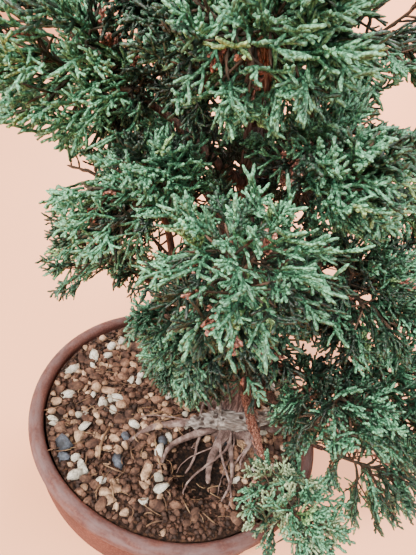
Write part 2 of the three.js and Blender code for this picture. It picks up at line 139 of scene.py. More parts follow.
def linear(hexColour):
    channels = [int(hexColour[i:i + 2], 16) / 255 for i in (1, 3, 5)]
    return [c / 12.92 if c <= 0.04045 else ((c + 0.055) / 1.055) ** 2.4 for c in channels] + [1.0]


def addNode(tree, kind, inputs=None, **settings):
    node = tree.nodes.new("ShaderNode" + kind)
    for name, value in settings.items():
        setattr(node, name, value)
    for socket, value in (inputs or {}).items():
        if isinstance(value, bpy.types.NodeSocket):
            tree.links.new(value, node.inputs[socket])
        else:
            node.inputs[socket].default_value = value
    return node


def newMaterial(name, roughness, ior=1.5):
    material = bpy.data.materials.new(name)
    material.use_nodes = True
    tree = material.node_tree
    shader = tree.nodes["Principled BSDF"]
    shader.inputs["Roughness"].default_value = roughness
    shader.inputs["IOR"].default_value = ior
    place = addNode(tree, "TexCoord").outputs["Object"]
    return material, tree, shader, place


def mottled(tree, place, sizeMm, colours, detail=3.0, stretch=None):
    # patches of the given colours, about so many millimetres across
    if stretch:
        place = addNode(tree, "Mapping", {"Vector": place, "Scale": stretch}).outputs["Vector"]
    noise = addNode(tree, "TexNoise", {"Vector": place, "Scale": 1 / (sizeMm * mm), "Detail": detail})
    ramp = addNode(tree, "ValToRGB", {"Fac": noise.outputs["Fac"]})
    stops = ramp.color_ramp.elements
    spread = np.linspace(0.36, 0.66, len(colours))
    while len(stops) < len(colours):
        stops.new(0.5)
    for stop, position, colour in zip(stops, spread, colours):
        stop.position = position
        stop.color = linear(colour)
    return ramp.outputs["Color"], noise.outputs["Fac"]


def dress(tree, shader, colour, height=None, depthMm=0, strength=1.0):
    # gives the surface its colour, and bumps so many millimetres high
    tree.links.new(colour, shader.inputs["Base Color"])
    if height:
        bump = addNode(tree, "Bump", {"Height": height, "Distance": depthMm * mm, "Strength": strength})
        tree.links.new(bump.outputs["Normal"], shader.inputs["Normal"])


def deselectAll():
    if bpy.context.object and bpy.context.object.mode != "OBJECT":
        bpy.ops.object.mode_set(mode="OBJECT")
    bpy.ops.object.select_all(action="DESELECT")


def newObject(name, data):
    made = bpy.data.objects.new(name, data)
    bpy.context.scene.collection.objects.link(made)
    return made


def meshPiece(name, shape, material):
    # a smooth piece from arrays: vertices in millimetres, and triangles
    vertices, faces = shape
    mesh = bpy.data.meshes.new(name)
    mesh.vertices.add(len(vertices))
    mesh.vertices.foreach_set("co", (vertices * mm).astype(np.float32).ravel())
    mesh.loops.add(faces.size)
    mesh.loops.foreach_set("vertex_index", faces.astype(np.int32).ravel())
    mesh.polygons.add(len(faces))
    mesh.polygons.foreach_set("loop_start", np.arange(0, faces.size, 3, dtype=np.int32))
    mesh.polygons.foreach_set("use_smooth", np.full(len(faces), True))
    mesh.update(calc_edges=True)
    mesh.materials.append(material)
    piece = newObject(name, mesh)
    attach(piece, "root")
    return piece


def vertexValues(body, name):
    # the place ("co") or the normal ("normal") of each vertex
    values = np.empty(len(body.data.vertices) * 3)
    body.data.vertices.foreach_get(name, values)
    return values.reshape(-1, 3)


def joinMeshes(parts):
    # one pair of arrays from several (vertices, faces)
    starts = np.cumsum([0] + [len(vertices) for vertices, _ in parts[:-1]])
    return (np.vstack([vertices for vertices, _ in parts]),
            np.vstack([faces + start for (_, faces), start in zip(parts, starts)]))


def limbMesh(path, radii, sides, relief=None):
    # a closed tube round a path, with a ring of corners at each point; relief pushes its skin in and out
    rings = len(path)
    along = unit(np.gradient(path, axis=0))
    side = np.empty_like(path)
    side[0] = across(along[0])
    for i in range(1, rings):
        side[i] = unit(side[i - 1] - along[i] * np.dot(side[i - 1], along[i]))
    other = np.cross(along, side)
    angles = np.arange(sides) * fullTurn / sides
    radius = np.repeat(np.asarray(radii, float)[:, None], sides, axis=1)
    if relief is not None:
        radius = radius + relief(lengthsAlong(path)[:, None], angles[None, :])
    ring = side[:, None] * np.cos(angles)[None, :, None] + other[:, None] * np.sin(angles)[None, :, None]
    skin = path[:, None] + ring * radius[..., None]
    foot = path[:1] - along[:1] * 0.1
    dome = path[-1:] + along[-1:] * radii[-1] * 0.6
    vertices = np.vstack([skin.reshape(-1, 3), foot, dome])
    i, j = np.meshgrid(np.arange(rings - 1), np.arange(sides), indexing="ij")
    a, b = i * sides + j, i * sides + (j + 1) % sides
    walls = np.stack([a, b, b + sides, a + sides], axis=-1).reshape(-1, 4)
    k = np.arange(sides)
    onward, last = (k + 1) % sides, (rings - 1) * sides
    caps = [np.stack([onward, k, np.full(sides, rings * sides)], axis=-1),
            np.stack([last + k, last + onward, np.full(sides, rings * sides + 1)], axis=-1)]
    return vertices, np.vstack([walls[:, [0, 1, 2]], walls[:, [0, 2, 3]]] + caps)


# a cord tapers, its last ring stands before its tip, and its rings are wide and narrow by turns
cordShape = {"taper": 0.3, "lastRing": 0.93, "foot": 0.9, "wide": 1.18, "narrow": 0.8}


def arc(shares):
    # how far a bow has swung out at shares of its length: none at the ends and all of it in the middle
    return 4 * shares * (1 - shares)


def alongCords(starts, ends, bows, shares):
    # a point on each bowed cord
    return starts + (ends - starts) * shares[..., None] + bows * arc(shares)[..., None]


def cordMesh(starts, ends, radii, bows, segments, youth=None):
    # many slim cords at once, each of rings of three corners; a ring is turned half way round from the last,
    # so that the faces overlap like pairs of scale leaves; youth grows to 1 at each tip
    count = len(starts)
    along = unit(ends - starts)
    side = across(along)
    other = np.cross(along, side)
    shares = np.append(np.linspace(0, cordShape["lastRing"], segments), 1.0)
    centres = (starts[:, None] * (1 - shares)[None, :, None] + ends[:, None] * shares[None, :, None]
               + bows[:, None] * arc(shares)[None, :, None])
    k = np.arange(segments)
    swell = (1 - cordShape["taper"] * shares[:-1]) * np.where(k % 2, cordShape["narrow"], cordShape["wide"])
    swell[0] = cordShape["foot"]
    angles = k[:, None] * math.pi / 3 + np.arange(3)[None, :] * fullTurn / 3
    ring = (side[:, None, None] * np.cos(angles)[None, :, :, None]
            + other[:, None, None] * np.sin(angles)[None, :, :, None])
    radius = np.asarray(radii)[:, None] * swell[None, :]
    vertices = centres[:, :-1, None] + ring * radius[..., None, None]
    vertices = np.concatenate([vertices.reshape(count, -1, 3), centres[:, -1:]], axis=1)
    faces = []
    for i in range(segments - 1):
        for j in range(3):
            a, b = 3 * i + j, 3 * i + (j + 1) % 3
            faces += [(a, b, a + 3), (b, b + 3, a + 3)]
    last = 3 * (segments - 1)
    faces += [(last + j, last + (j + 1) % 3, last + 3) for j in range(3)] + [(2, 1, 0)]
    perCord = vertices.shape[1]
    faces = np.array(faces)[None] + (np.arange(count) * perCord)[:, None, None]
    young = np.zeros(count) if youth is None else np.asarray(youth, float)
    ages = np.append(np.repeat(shares[:-1], 3), 1.0)
    young = young[:, None] + (1 - young[:, None]) * ages[None]
    return vertices.reshape(-1, 3), faces.reshape(-1, 3), young.ravel()


# Camera first: at the photograph's place, found from the ellipse of the pot's rim

cameraView = {"place": (-4.97, -181.73, 280.4), "pitch": 32.72, "roll": 15.95, "focalPixels": 417,
              "imageWidth": 416, "imageHeight": 555}


def cameraAxes(view):
    pitch, roll = math.radians(view["pitch"]), math.radians(view["roll"])
    forward = np.array([0, math.cos(pitch), -math.sin(pitch)])
    level = np.array([1.0, 0, 0])
    right = math.cos(roll) * level + math.sin(roll) * np.cross(level, forward)
    return right, np.cross(right, forward), forward


def seenAt(points, view):
    # pixel column and row of each point in the photograph, and how deep it lies, in millimetres
    right, top, forward = cameraAxes(view)
    away = points - np.array(view["place"])
    depth = away @ forward
    scale = view["focalPixels"] / depth
    return np.stack([view["imageWidth"] / 2 + scale * (away @ right),
                     view["imageHeight"] / 2 - scale * (away @ top), depth], -1)


def spotAt(column, row, depth, view):
    # the point that is seen at a pixel of the photograph, at a depth in millimetres
    right, top, forward = cameraAxes(view)
    aside = right * (column - view["imageWidth"] / 2) - top * (row - view["imageHeight"] / 2)
    return np.array(view["place"]) + (forward + aside / view["focalPixels"]) * depth


def placeCamera(view):
    right, top, forward = [Vector(axis) for axis in cameraAxes(view)]
    camera = newObject("camera", bpy.data.cameras.new("camera"))
    turn = Matrix((right, top, -forward)).transposed().to_4x4()
    camera.matrix_world = Matrix.Translation(Vector(view["place"]) * mm) @ turn
    camera.data.sensor_width = 36
    camera.data.lens = 36 * view["focalPixels"] / view["imageHeight"]
    camera.data.clip_start = 0.01
    bpy.context.scene.camera = camera


placeCamera(cameraView)
print("camera placed")


# Floor and light

studio = {
    "paper": "#FFB68A", "sky": "#FFD6B0", "skyStrength": 0.24,
    # the paper lies flat, then curves up behind the plant; all in metres
    "halfWidth": 4, "front": -4, "wall": 2.4, "curve": 0.6, "top": 2.2,
    "lamps": [  # name, place and aim in metres, size in metres, watts, colour
        ("key", (-0.3, -0.7, 1.0), (0, 0, 0.15), 0.42, 36, "#FFF8F0"),
        ("fill", (0.8, -0.35, 0.7), (0, 0, 0.15), 0.6, 9, "#F2F6FF"),
        ("left", (-0.82, -0.5, 0.5), (0, 0, 0.2), 0.7, 14, "#FFFFFF"),
        ("back", (0.1, 0.8, 0.8), (0, 0, 0.15), 0.6, 7, "#FFFFFF"),
        ("wash", (0.3, 1.1, 1.5), (0.3, 2.2, 0.3), 1.0, 105, "#FFFFFF"),
    ],
}


def buildStudio(settings):
    curve, wall, bend = settings["curve"], settings["wall"], np.radians(np.arange(0, 91, 9))
    profile = [(settings["front"], 0)]
    profile += [(wall - curve * (1 - math.sin(a)), curve * (1 - math.cos(a))) for a in bend]
    profile += [(wall, settings["top"])]
    corners = [(side * settings["halfWidth"], y, z) for y, z in profile for side in (-1, 1)]
    mesh = bpy.data.meshes.new("paper")
    mesh.from_pydata(corners, [], [(2 * i, 2 * i + 1, 2 * i + 3, 2 * i + 2) for i in range(len(profile) - 1)])
    mesh.shade_smooth()
    paper = newObject("paper", mesh)
    material, _, shader, _ = newMaterial("pale_paper", 0.9)  # seamless backdrop paper, matt and even
    shader.inputs["Base Color"].default_value = linear(settings["paper"])
    mesh.materials.append(material)
    for name, place, aim, size, watts, colour in settings["lamps"]:
        lamp = newObject(name, bpy.data.lights.new(name, "AREA"))
        lamp.data.size = size
        lamp.data.energy = watts
        lamp.data.color = linear(colour)[:3]
        lamp.location = place
        lamp.rotation_euler = (Vector(aim) - Vector(place)).to_track_quat("-Z", "Y").to_euler()
    world = bpy.context.scene.world or bpy.data.worlds.new("studio")
    bpy.context.scene.world = world
    world.use_nodes = True
    background = world.node_tree.nodes["Background"]
    background.inputs["Color"].default_value = linear(settings["sky"])
    background.inputs["Strength"].default_value = settings["skyStrength"]


buildStudio(studio)
print("studio lit")


# Pot: thrown, unglazed, low fired clay with lime bloom on its rim

potShape = {
    "segments": 144,
    "outside": [(60, 0), (61.2, 0.6), (62, 2.5), (72.5, 12), (80.5, 24), (85, 40), (86.6, 56)],
    "rimRadius": 90, "rimRoll": 4, "height": 66, "rimFrom": -40, "rimTo": 180, "rimStep": 14,
    "inside": [(82, 61), (81.2, 52), (79, 36), (72, 19), (58, 8)],
    "holes": {"count": 3, "radius": 5, "ring": 34, "first": 30, "sides": 32, "depth": 30},
    "waver": 0.35,  # the hand-thrown rim is a little out of true
    "creaseDegrees": 40,
}


def wheelPlace(tree, place):
    # coordinates that run slowly round the pot and fast across its wall, so that streaks lie as it was thrown
    apart = addNode(tree, "SeparateXYZ", {"Vector": place})
    flat = addNode(tree, "CombineXYZ", {"X": apart.outputs["X"], "Y": apart.outputs["Y"]}).outputs["Vector"]
    radius = addNode(tree, "VectorMath", {0: flat}, operation="LENGTH").outputs["Value"]
    ring = addNode(tree, "VectorMath", {0: flat}, operation="NORMALIZE").outputs["Vector"]
    slow = addNode(tree, "VectorMath", {0: ring, "Scale": 26 * mm}, operation="SCALE").outputs["Vector"]
    rise = addNode(tree, "Math", {0: radius, 1: apart.outputs["Z"]}, operation="SUBTRACT").outputs["Value"]
    fast = addNode(tree, "CombineXYZ", {"Z": rise}).outputs["Vector"]
    streaked = addNode(tree, "VectorMath", {0: slow, 1: fast}, operation="ADD").outputs["Vector"]
    return streaked, radius, apart.outputs["Z"]


def clayMaterial():
    # unglazed terracotta: open pored, so dull all over, with grey lime that damp leaves on top of the rim
    material, tree, shader, place = newMaterial("unglazed_terracotta", 0.86)
    clay, _ = mottled(tree, place, 16, ["#3E1D18", "#4B251F", "#593229"], detail=6)
    speck, grit = mottled(tree, place, 1.3, ["#592F27", "#6F3C31", "#875B4D"], detail=2)
    body = addNode(tree, "Mix", {"Factor": 0.35, "A": clay, "B": speck}, data_type="RGBA")
    streaked, radius, height = wheelPlace(tree, place)
    onRim = addNode(tree, "MapRange", {"Value": height, "From Min": 57 * mm, "From Max": 63 * mm})
    outside = addNode(tree, "MapRange", {"Value": radius, "From Min": 82.2 * mm, "From Max": 84.6 * mm})
    patch = addNode(tree, "TexNoise", {"Vector": streaked, "Scale": 1 / (3.2 * mm), "Detail": 8.0})
    bloom = addNode(tree, "MapRange", {"Value": patch.outputs["Fac"], "From Min": 0.36, "From Max": 0.62,
                                       "To Min": 0.15, "To Max": 0.85})
    above = addNode(tree, "Math", {0: onRim.outputs["Result"], 1: outside.outputs["Result"]},
                    operation="MULTIPLY")
    limed = addNode(tree, "Math", {0: above.outputs["Value"], 1: bloom.outputs["Result"]},
                    operation="MULTIPLY")
    lime = addNode(tree, "Mix", {"Factor": limed.outputs["Value"], "A": body.outputs["Result"],
                                 "B": linear("#695453")}, data_type="RGBA")
    rings = addNode(tree, "TexWave", {"Vector": place, "Scale": 1 / (60 * mm), "Distortion": 1.2,
                                      "Detail": 2.0}, bands_direction="Z")
    relief = addNode(tree, "Math", {0: rings.outputs["Fac"], 1: 0.3, 2: grit}, operation="MULTIPLY_ADD")
    dress(tree, shader, lime.outputs["Result"], relief.outputs["Value"], 0.35)
    return material


def buildPot(shape):
    wall, bowl = [smoothPath([(radius, 0, height) for radius, height in shape[face]], 5)[:, [0, 2]]
                  for face in ("outside", "inside")]
    angles = np.radians(np.arange(shape["rimFrom"], shape["rimTo"] + 1, shape["rimStep"]))
    rollCentre = np.array([shape["rimRadius"], shape["height"]]) - shape["rimRoll"]
    rim = rollCentre + shape["rimRoll"] * np.stack([np.cos(angles), np.sin(angles)], -1)
    profile = np.vstack([wall, rim, bowl])
    deselectAll()
    bpy.ops.mesh.primitive_circle_add(vertices=shape["segments"], radius=profile[0, 0] * mm, fill_type="NGON")
    pot = bpy.context.object
    pot.name = "pot_shell"
    bpy.ops.object.mode_set(mode="EDIT")
    bpy.ops.mesh.select_mode(type="EDGE")
    bpy.ops.mesh.select_all(action="SELECT")
    bpy.ops.mesh.region_to_loop()
    for (radius, height), (nextRadius, nextHeight) in zip(profile, profile[1:]):
        bpy.ops.mesh.extrude_edges_move(TRANSFORM_OT_translate={"value": (0, 0, (nextHeight - height) * mm)})
        grow = nextRadius / radius
        bpy.ops.transform.resize(value=(grow, grow, 1), center_override=(0, 0, nextHeight * mm))
    bpy.ops.mesh.edge_face_add()
    bpy.ops.mesh.select_all(action="SELECT")
    bpy.ops.mesh.normals_make_consistent(inside=False)
    bpy.ops.object.mode_set(mode="OBJECT")
    holes = shape["holes"]
    for i in range(holes["count"]):
        spot = heading(holes["first"] + 360 * i / holes["count"]) * holes["ring"] * mm
        deselectAll()
        bpy.ops.mesh.primitive_cylinder_add(
            vertices=holes["sides"], radius=holes["radius"] * mm, depth=holes["depth"] * mm, location=spot)
        drill = bpy.context.object
        cut = pot.modifiers.new("drain", "BOOLEAN")
        cut.object = drill
        cut.solver = "EXACT"
        deselectAll()
        bpy.context.view_layer.objects.active = pot
        bpy.ops.object.modifier_apply(modifier=cut.name)
        bpy.data.objects.remove(drill)
    co = vertexValues(pot, "co")
    angle = np.arctan2(co[:, 1], co[:, 0])
    lift = np.clip(co[:, 2] / (shape["height"] * mm), 0, 1)
    wave = np.cos(2 * angle + 0.6) + 0.5 * np.cos(5 * angle)
    co[:, :2] *= (1 + shape["waver"] / shape["rimRadius"] * lift * wave)[:, None]
    pot.data.vertices.foreach_set("co", co.ravel())
    pot.data.update()
    pot.select_set(True)
    bpy.ops.object.shade_smooth_by_angle(angle=math.radians(shape["creaseDegrees"]))
    pot.data.materials.append(clayMaterial())
    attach(pot, "root")
    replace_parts(pot, "pot")


buildPot(potShape)
print("pot built")


# Grit: baked clay, pumice and lava grains on a bed of dark humus

gritShape = {
    "level": 60.5, "edgeDrop": -1.2, "flatRadius": 64, "edgeRadius": 81, "outerRadius": 81.4, "foot": 52,
    "seed": 71,
    # washed out between the roots; few grains lie in it, and fewest of all the pale ones, which keeps it dark
    # as a painted shade
    "hollow": {"centre": (22, -32), "radius": 24, "depth": 12, "steepness": 0.65, "core": 0.85,
               "largest": 7, "emptied": 0.6, "paleEmptied": 0.9},
    # where crumbs of dark humus lie on top and cover most of the larger grains
    "fines": {"centre": (30, -60), "radius": 27, "share": 0.92, "largest": 4.2},
    # the bed's low waves and its mesh
    "swell": 0.9, "swellLengths": (7.3, 8.1), "swellBends": (11, 13), "evenRadius": 80,
    "rings": 120, "spokes": 300, "bedRadius": 80.8, "bedRoughness": 0.4,
    "grains": 1900, "attempts": 30000, "closeness": 0.64, "cell": 9, "rest": (0.05, 0.3),
    "moreSmall": 1.3,  # above 1, small grains outnumber large ones
    # name, share of the grains, smallest and largest size, flatness, length over width
    "kinds": [
        ("baked_clay", 0.4, 3.8, 9.2, 0.72, 1.25),
        ("tan_clay", 0.22, 4.0, 9.4, 0.7, 1.3),
        ("pumice", 0.115, 4.6, 9.2, 0.78, 1.35),
        ("lava", 0.03, 6.5, 11, 0.75, 1.2),
        ("umber_clay", 0.27, 1.8, 4.2, 0.8, 1.25),
    ],
    # a broken lump: a rounded block, sliced off by random planes
    "lump": {"round": 0.9, "uneven": 0.07, "cuts": 7, "cutDepth": (0.42, 0.85), "cutShare": 0.95,
             "length": (0.9, 1.15), "width": (0.8, 1.05), "patterns": 9},
    "crumbs": 1500, "crumbsInHollow": 420, "crumbSize": (1.1, 2.7), "crumbLength": 1.15,
    "crumbRadius": 79, "crumbRest": 0.2,
    "litter": 230, "litterLength": (5, 20), "litterUneven": (0.4, 1), "litterGirth": (0.25, 0.55),
    "litterRadius": 76, "litterLift": 2.6, "litterTilt": 0.1, "litterBend": 0.9,
    "sticks": 14, "stickLength": (16, 30), "stickGirth": (0.7, 1.1), "stickInward": 0.4,
}


def grainMaterial(name, colours, roughness, pores, depth):
    material, tree, shader, place = newMaterial(name, roughness)
    patches, _ = mottled(tree, place, 6.5, colours, detail=2.5)
    _, pits = mottled(tree, place, pores, colours[:2], detail=4)
    pitted = addNode(tree, "MapRange", {"Value": pits, "From Min": 0.35, "From Max": 0.6,
                                        "To Min": 0.55, "To Max": 1.1})
    dusty = addNode(tree, "VectorMath", {0: patches, "Scale": pitted.outputs["Result"]}, operation="SCALE")
    dress(tree, shader, dusty.outputs["Vector"], pits, depth)
    return material


def soilHeight(x, y, shape):
    # the bed's top: level, lower at the wall, washed out in the hollow, and a little uneven
    radius, hollow = np.hypot(x, y), shape["hollow"]
    edge = shape["edgeRadius"] - shape["flatRadius"]
    drop = np.clip((radius - shape["flatRadius"]) / edge, 0, 1) * shape["edgeDrop"]
    away = np.hypot(x - hollow["centre"][0], y - hollow["centre"][1]) / hollow["radius"]
    dip = hollow["depth"] * np.clip(1 - away ** 2, 0, 1) ** hollow["steepness"]
    (lengthX, lengthY), (bendX, bendY) = shape["swellLengths"], shape["swellBends"]
    wave = np.sin(x / lengthX + 1.2 * np.sin(y / bendX)) * np.cos(y / lengthY + 0.9 * np.sin(x / bendY))
    swell = shape["swell"] * (wave - 1) * np.clip((shape["evenRadius"] - radius) / 10, 0, 1)
    return shape["level"] - drop - dip + swell


def grainShapes(rng, length, lump):
    # a few patterns of a broken lump
    deselectAll()
    bpy.ops.mesh.primitive_cube_add(size=2)
    block = bpy.context.object
    bpy.ops.object.mode_set(mode="EDIT")
    bpy.ops.mesh.subdivide(number_cuts=1)
    bpy.ops.transform.tosphere(value=lump["round"])
    bpy.ops.mesh.quads_convert_to_tris()
    bpy.ops.object.mode_set(mode="OBJECT")
    start = unit(np.array([v.co for v in block.data.vertices]))
    faces = np.array([p.vertices[:] for p in block.data.polygons])
    bpy.data.objects.remove(block)
    shapes = []
    for _ in range(lump["patterns"]):
        points = start * (1 + rng.normal(scale=lump["uneven"], size=(len(start), 1)))
        for normal in unit(rng.normal(size=(lump["cuts"], 3))):
            over = points @ normal - rng.uniform(*lump["cutDepth"])
            points = points - np.where(over > 0, over, 0)[:, None] * normal * lump["cutShare"]
        points = points * np.array([length * rng.uniform(*lump["length"]), rng.uniform(*lump["width"]), 1])
        shapes.append((points, faces))
    return shapes


def liesIn(x, y, place, share=1):
    # true inside a round place on the bed, or inside a share of its radius
    return math.hypot(x - place["centre"][0], y - place["centre"][1]) < share * place["radius"]


def scatterGrains(shape, rng):
    shares = np.array([kind[1] for kind in shape["kinds"]])
    hollow, fines = shape["hollow"], shape["fines"]
    placed, cells = [], {}
    for _ in range(shape["attempts"]):
        if len(placed) >= shape["grains"]:
            break
        kind = rng.choice(len(shares), p=shares / shares.sum())
        name, _, small, large, _, _ = shape["kinds"][kind]
        size = small + (large - small) * rng.random() ** shape["moreSmall"]
        angle = rng.uniform(0, fullTurn)
        radius = (shape["outerRadius"] - size / 2) * math.sqrt(rng.random())
        x, y = radius * math.cos(angle), radius * math.sin(angle)
        # pale grains are left out of the hollow more often, so that it stays dark: a painted shade
        emptied = hollow["paleEmptied" if name in ("pumice", "tan_clay") else "emptied"]
        if liesIn(x, y, hollow, hollow["core"]) and (size > hollow["largest"] or rng.random() < emptied):
            continue
        if liesIn(x, y, fines) and size > fines["largest"] and rng.random() < fines["share"]:
            continue
        column, row = int(x // shape["cell"]), int(y // shape["cell"])
        around = [(column + i, row + j) for i in (-1, 0, 1) for j in (-1, 0, 1)]
        near = [grain for cell in around for grain in cells.get(cell, [])]
        room = shape["closeness"] / 2
        if any(math.hypot(x - otherX, y - otherY) < room * (size + other) for otherX, otherY, other in near):
            continue
        cells.setdefault((column, row), []).append((x, y, size))
        placed.append((kind, x, y, size))
    return placed


def randomTurns(rng, count):
    # one random rotation matrix each
    w, x, y, z = unit(rng.normal(size=(count, 4))).T
    return np.stack([
        np.stack([1 - 2 * (y * y + z * z), 2 * (x * y - z * w), 2 * (x * z + y * w)], -1),
        np.stack([2 * (x * y + z * w), 1 - 2 * (x * x + z * z), 2 * (y * z - x * w)], -1),
        np.stack([2 * (x * z - y * w), 2 * (y * z + x * w), 1 - 2 * (x * x + y * y)], -1)], 1)


def turnedLumps(rng, patterns, sizes, flatness=1):
    # one lump for each size: a pattern turned at random, then pressed flat
    for size, turn in zip(sizes, randomTurns(rng, len(sizes))):
        points, faces = patterns[rng.integers(len(patterns))]
        yield (points @ turn.T) * size / 2 * np.array([1, 1, flatness]), faces


def buildGrit(shape, rng):
    materials = {
        # akadama, a soft baked clay: dusty and dull, chestnut when damp
        "baked_clay": grainMaterial("akadama_clay", ["#3B251C", "#5F4233", "#87644F"], 0.95, 1.1, 0.3),
        "tan_clay": grainMaterial("kanuma_clay", ["#7A5D47", "#A5856A", "#C9AB8E"], 0.95, 1.1, 0.3),
        "umber_clay": grainMaterial("damp_clay", ["#2B1A12", "#4A3024", "#694837"], 0.85, 0.9, 0.3),
        # pumice: pale glassy foam, its pores show as small dark pits
        "pumice": grainMaterial("pumice", ["#9F9888", "#C2BBAB", "#D8D2C5"], 0.9, 0.8, 0.5),
        # lava rock: slate blue to black and rough
        "lava": grainMaterial("lava_rock", ["#26282D", "#41464F", "#5F6672"], 0.75, 0.9, 0.6),
    }
    placed = scatterGrains(shape, rng)
    for index, (name, _, _, _, flatness, length) in enumerate(shape["kinds"]):
        spots = np.array([grain[1:] for grain in placed if grain[0] == index])
        patterns = grainShapes(rng, length, shape["lump"])
        parts = []
        for (x, y, size), (points, faces) in zip(spots, turnedLumps(rng, patterns, spots[:, 2], flatness)):
            rest = soilHeight(x, y, shape) + size * rng.uniform(*shape["rest"])
            parts.append((points + np.array([x, y, rest]), faces))
        meshPiece("grit_" + name, joinMeshes(parts), materials[name])


def scatterCrumbs(shape, humus, rng):
    # loose crumbs of humus between the grains, and thickly in the hollow
    spread, hollow = shape["crumbs"], shape["hollow"]
    count = spread + shape["crumbsInHollow"]
    farthest = np.where(np.arange(count) < spread, shape["crumbRadius"], hollow["radius"])
    radius = farthest * np.sqrt(rng.random(count))
    angle = rng.uniform(0, fullTurn, count)
    x, y = radius * np.cos(angle), radius * np.sin(angle)
    x[spread:] += hollow["centre"][0]
    y[spread:] += hollow["centre"][1]
    size = rng.uniform(*shape["crumbSize"], count)
    patterns = grainShapes(rng, shape["crumbLength"], shape["lump"])
    middles = np.stack([x, y, soilHeight(x, y, shape) + size * shape["crumbRest"]], -1)
    lumps = zip(middles, turnedLumps(rng, patterns, size))
    parts = [(points + middle, faces) for middle, (points, faces) in lumps]
    meshPiece("grit_crumbs", joinMeshes(parts), humus)


def buildSoilBed(shape):
    # humus between the grains: damp, dark and crumbly, and darker low down in the hollow, partly for damp and
    # partly as painted shade
    material, tree, shader, place = newMaterial("damp_humus_and_hollow_shade", 0.9, ior=1.3)
    colour, _ = mottled(tree, place, 2.2, ["#1A100B", "#33221A", "#513829"], detail=7)
    height = addNode(tree, "SeparateXYZ", {"Vector": place}).outputs["Z"]
    # the colour is scaled darker towards the bottom of the hollow: damp in part, and painted shade in part
    dampAndShade = addNode(tree, "MapRange", {"Value": height, "From Min": 49 * mm, "From Max": 58.5 * mm,
                                      "To Min": 0.12, "To Max": 0.9})
    dampShadedColour = addNode(tree, "VectorMath", {0: colour, "Scale": dampAndShade.outputs["Result"]}, operation="SCALE")
    crumbs = addNode(tree, "TexNoise", {"Vector": place, "Scale": 1 / (1.5 * mm), "Detail": 5.0})
    dress(tree, shader, dampShadedColour.outputs["Vector"], crumbs.outputs["Fac"], 1.5)
    rings, spokes = shape["rings"], shape["spokes"]
    radius, angle = np.meshgrid(np.linspace(0.5, shape["bedRadius"], rings),
                                np.arange(spokes) * fullTurn / spokes, indexing="ij")
    x, y = radius * np.cos(angle), radius * np.sin(angle)
    rough = np.random.default_rng(shape["seed"]).normal(scale=shape["bedRoughness"], size=x.shape)
    height = soilHeight(x, y, shape) + rough * (radius < shape["evenRadius"])
    top = np.stack([x, y, height], -1).reshape(-1, 3)
    skirt = top[-spokes:] * np.array([1, 1, 0]) * 0.98 + upward * shape["foot"]
    vertices = np.vstack([top, skirt, [[0, 0, top[0, 2]]], [[0, 0, shape["foot"]]]])
    i, j = np.meshgrid(np.arange(rings), np.arange(spokes), indexing="ij")
    a, b = i * spokes + j, i * spokes + (j + 1) % spokes
    sheet = np.stack([a, a + spokes, b + spokes, b], -1).reshape(-1, 4)
    k = np.arange(spokes)
    onward, last, centre = (k + 1) % spokes, rings * spokes, (rings + 1) * spokes
    ends = [np.stack([np.full(spokes, centre), k, onward], -1),
            np.stack([np.full(spokes, centre + 1), last + onward, last + k], -1)]
    faces = np.vstack([sheet[:, [0, 1, 2]], sheet[:, [0, 2, 3]]] + ends)
    bed = meshPiece("soil_bed", (vertices, faces), material)
    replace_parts(bed, "soil")
    return material


def scatterLitter(shape, rng):
    # shed twiglets that lie on the grit, and a few thicker sticks among them
    count = shape["litter"] + shape["sticks"]
    thick = np.arange(count) >= shape["litter"]
    radius = shape["litterRadius"] * np.sqrt(rng.random(count))
    angle = rng.uniform(0, fullTurn, count)
    x, y = radius * np.cos(angle), radius * np.sin(angle)
    middle = np.stack([x, y, soilHeight(x, y, shape) + shape["litterLift"]], -1)
    lie = rng.uniform(0, fullTurn, count)
    length = rng.uniform(*shape["litterLength"], count) * rng.uniform(*shape["litterUneven"], count)
    length = np.where(thick, rng.uniform(*shape["stickLength"], count), length)
    middle[thick] += inward(middle[thick]) * length[thick, None] * shape["stickInward"]
    tilt = rng.normal(scale=shape["litterTilt"], size=count)
    half = np.stack([np.cos(lie), np.sin(lie), tilt], -1) * length[:, None] / 2
    bow = across(unit(half)) * rng.normal(scale=shape["litterBend"], size=(count, 1))
    material, tree, shader, place = newMaterial("dry_twig", 0.85)  # shed twiglets, bleached straw to brown
    colour, _ = mottled(tree, place, 7, ["#3E2A1E", "#6B4F38", "#8F7556"])
    dress(tree, shader, colour)
    stickGirth = rng.uniform(*shape["stickGirth"], count)
    girth = np.where(thick, stickGirth, rng.uniform(*shape["litterGirth"], count))
    vertices, faces, _ = cordMesh(middle - half, middle + half, girth, bow, 4)
    meshPiece("litter", (vertices, faces), material)


gritRng = np.random.default_rng(gritShape["seed"])
humus = buildSoilBed(gritShape)
scatterCrumbs(gritShape, humus, gritRng)
buildGrit(gritShape, gritRng)
scatterLitter(gritShape, gritRng)
print("grit scattered")


# Trunk, surface roots and deadwood

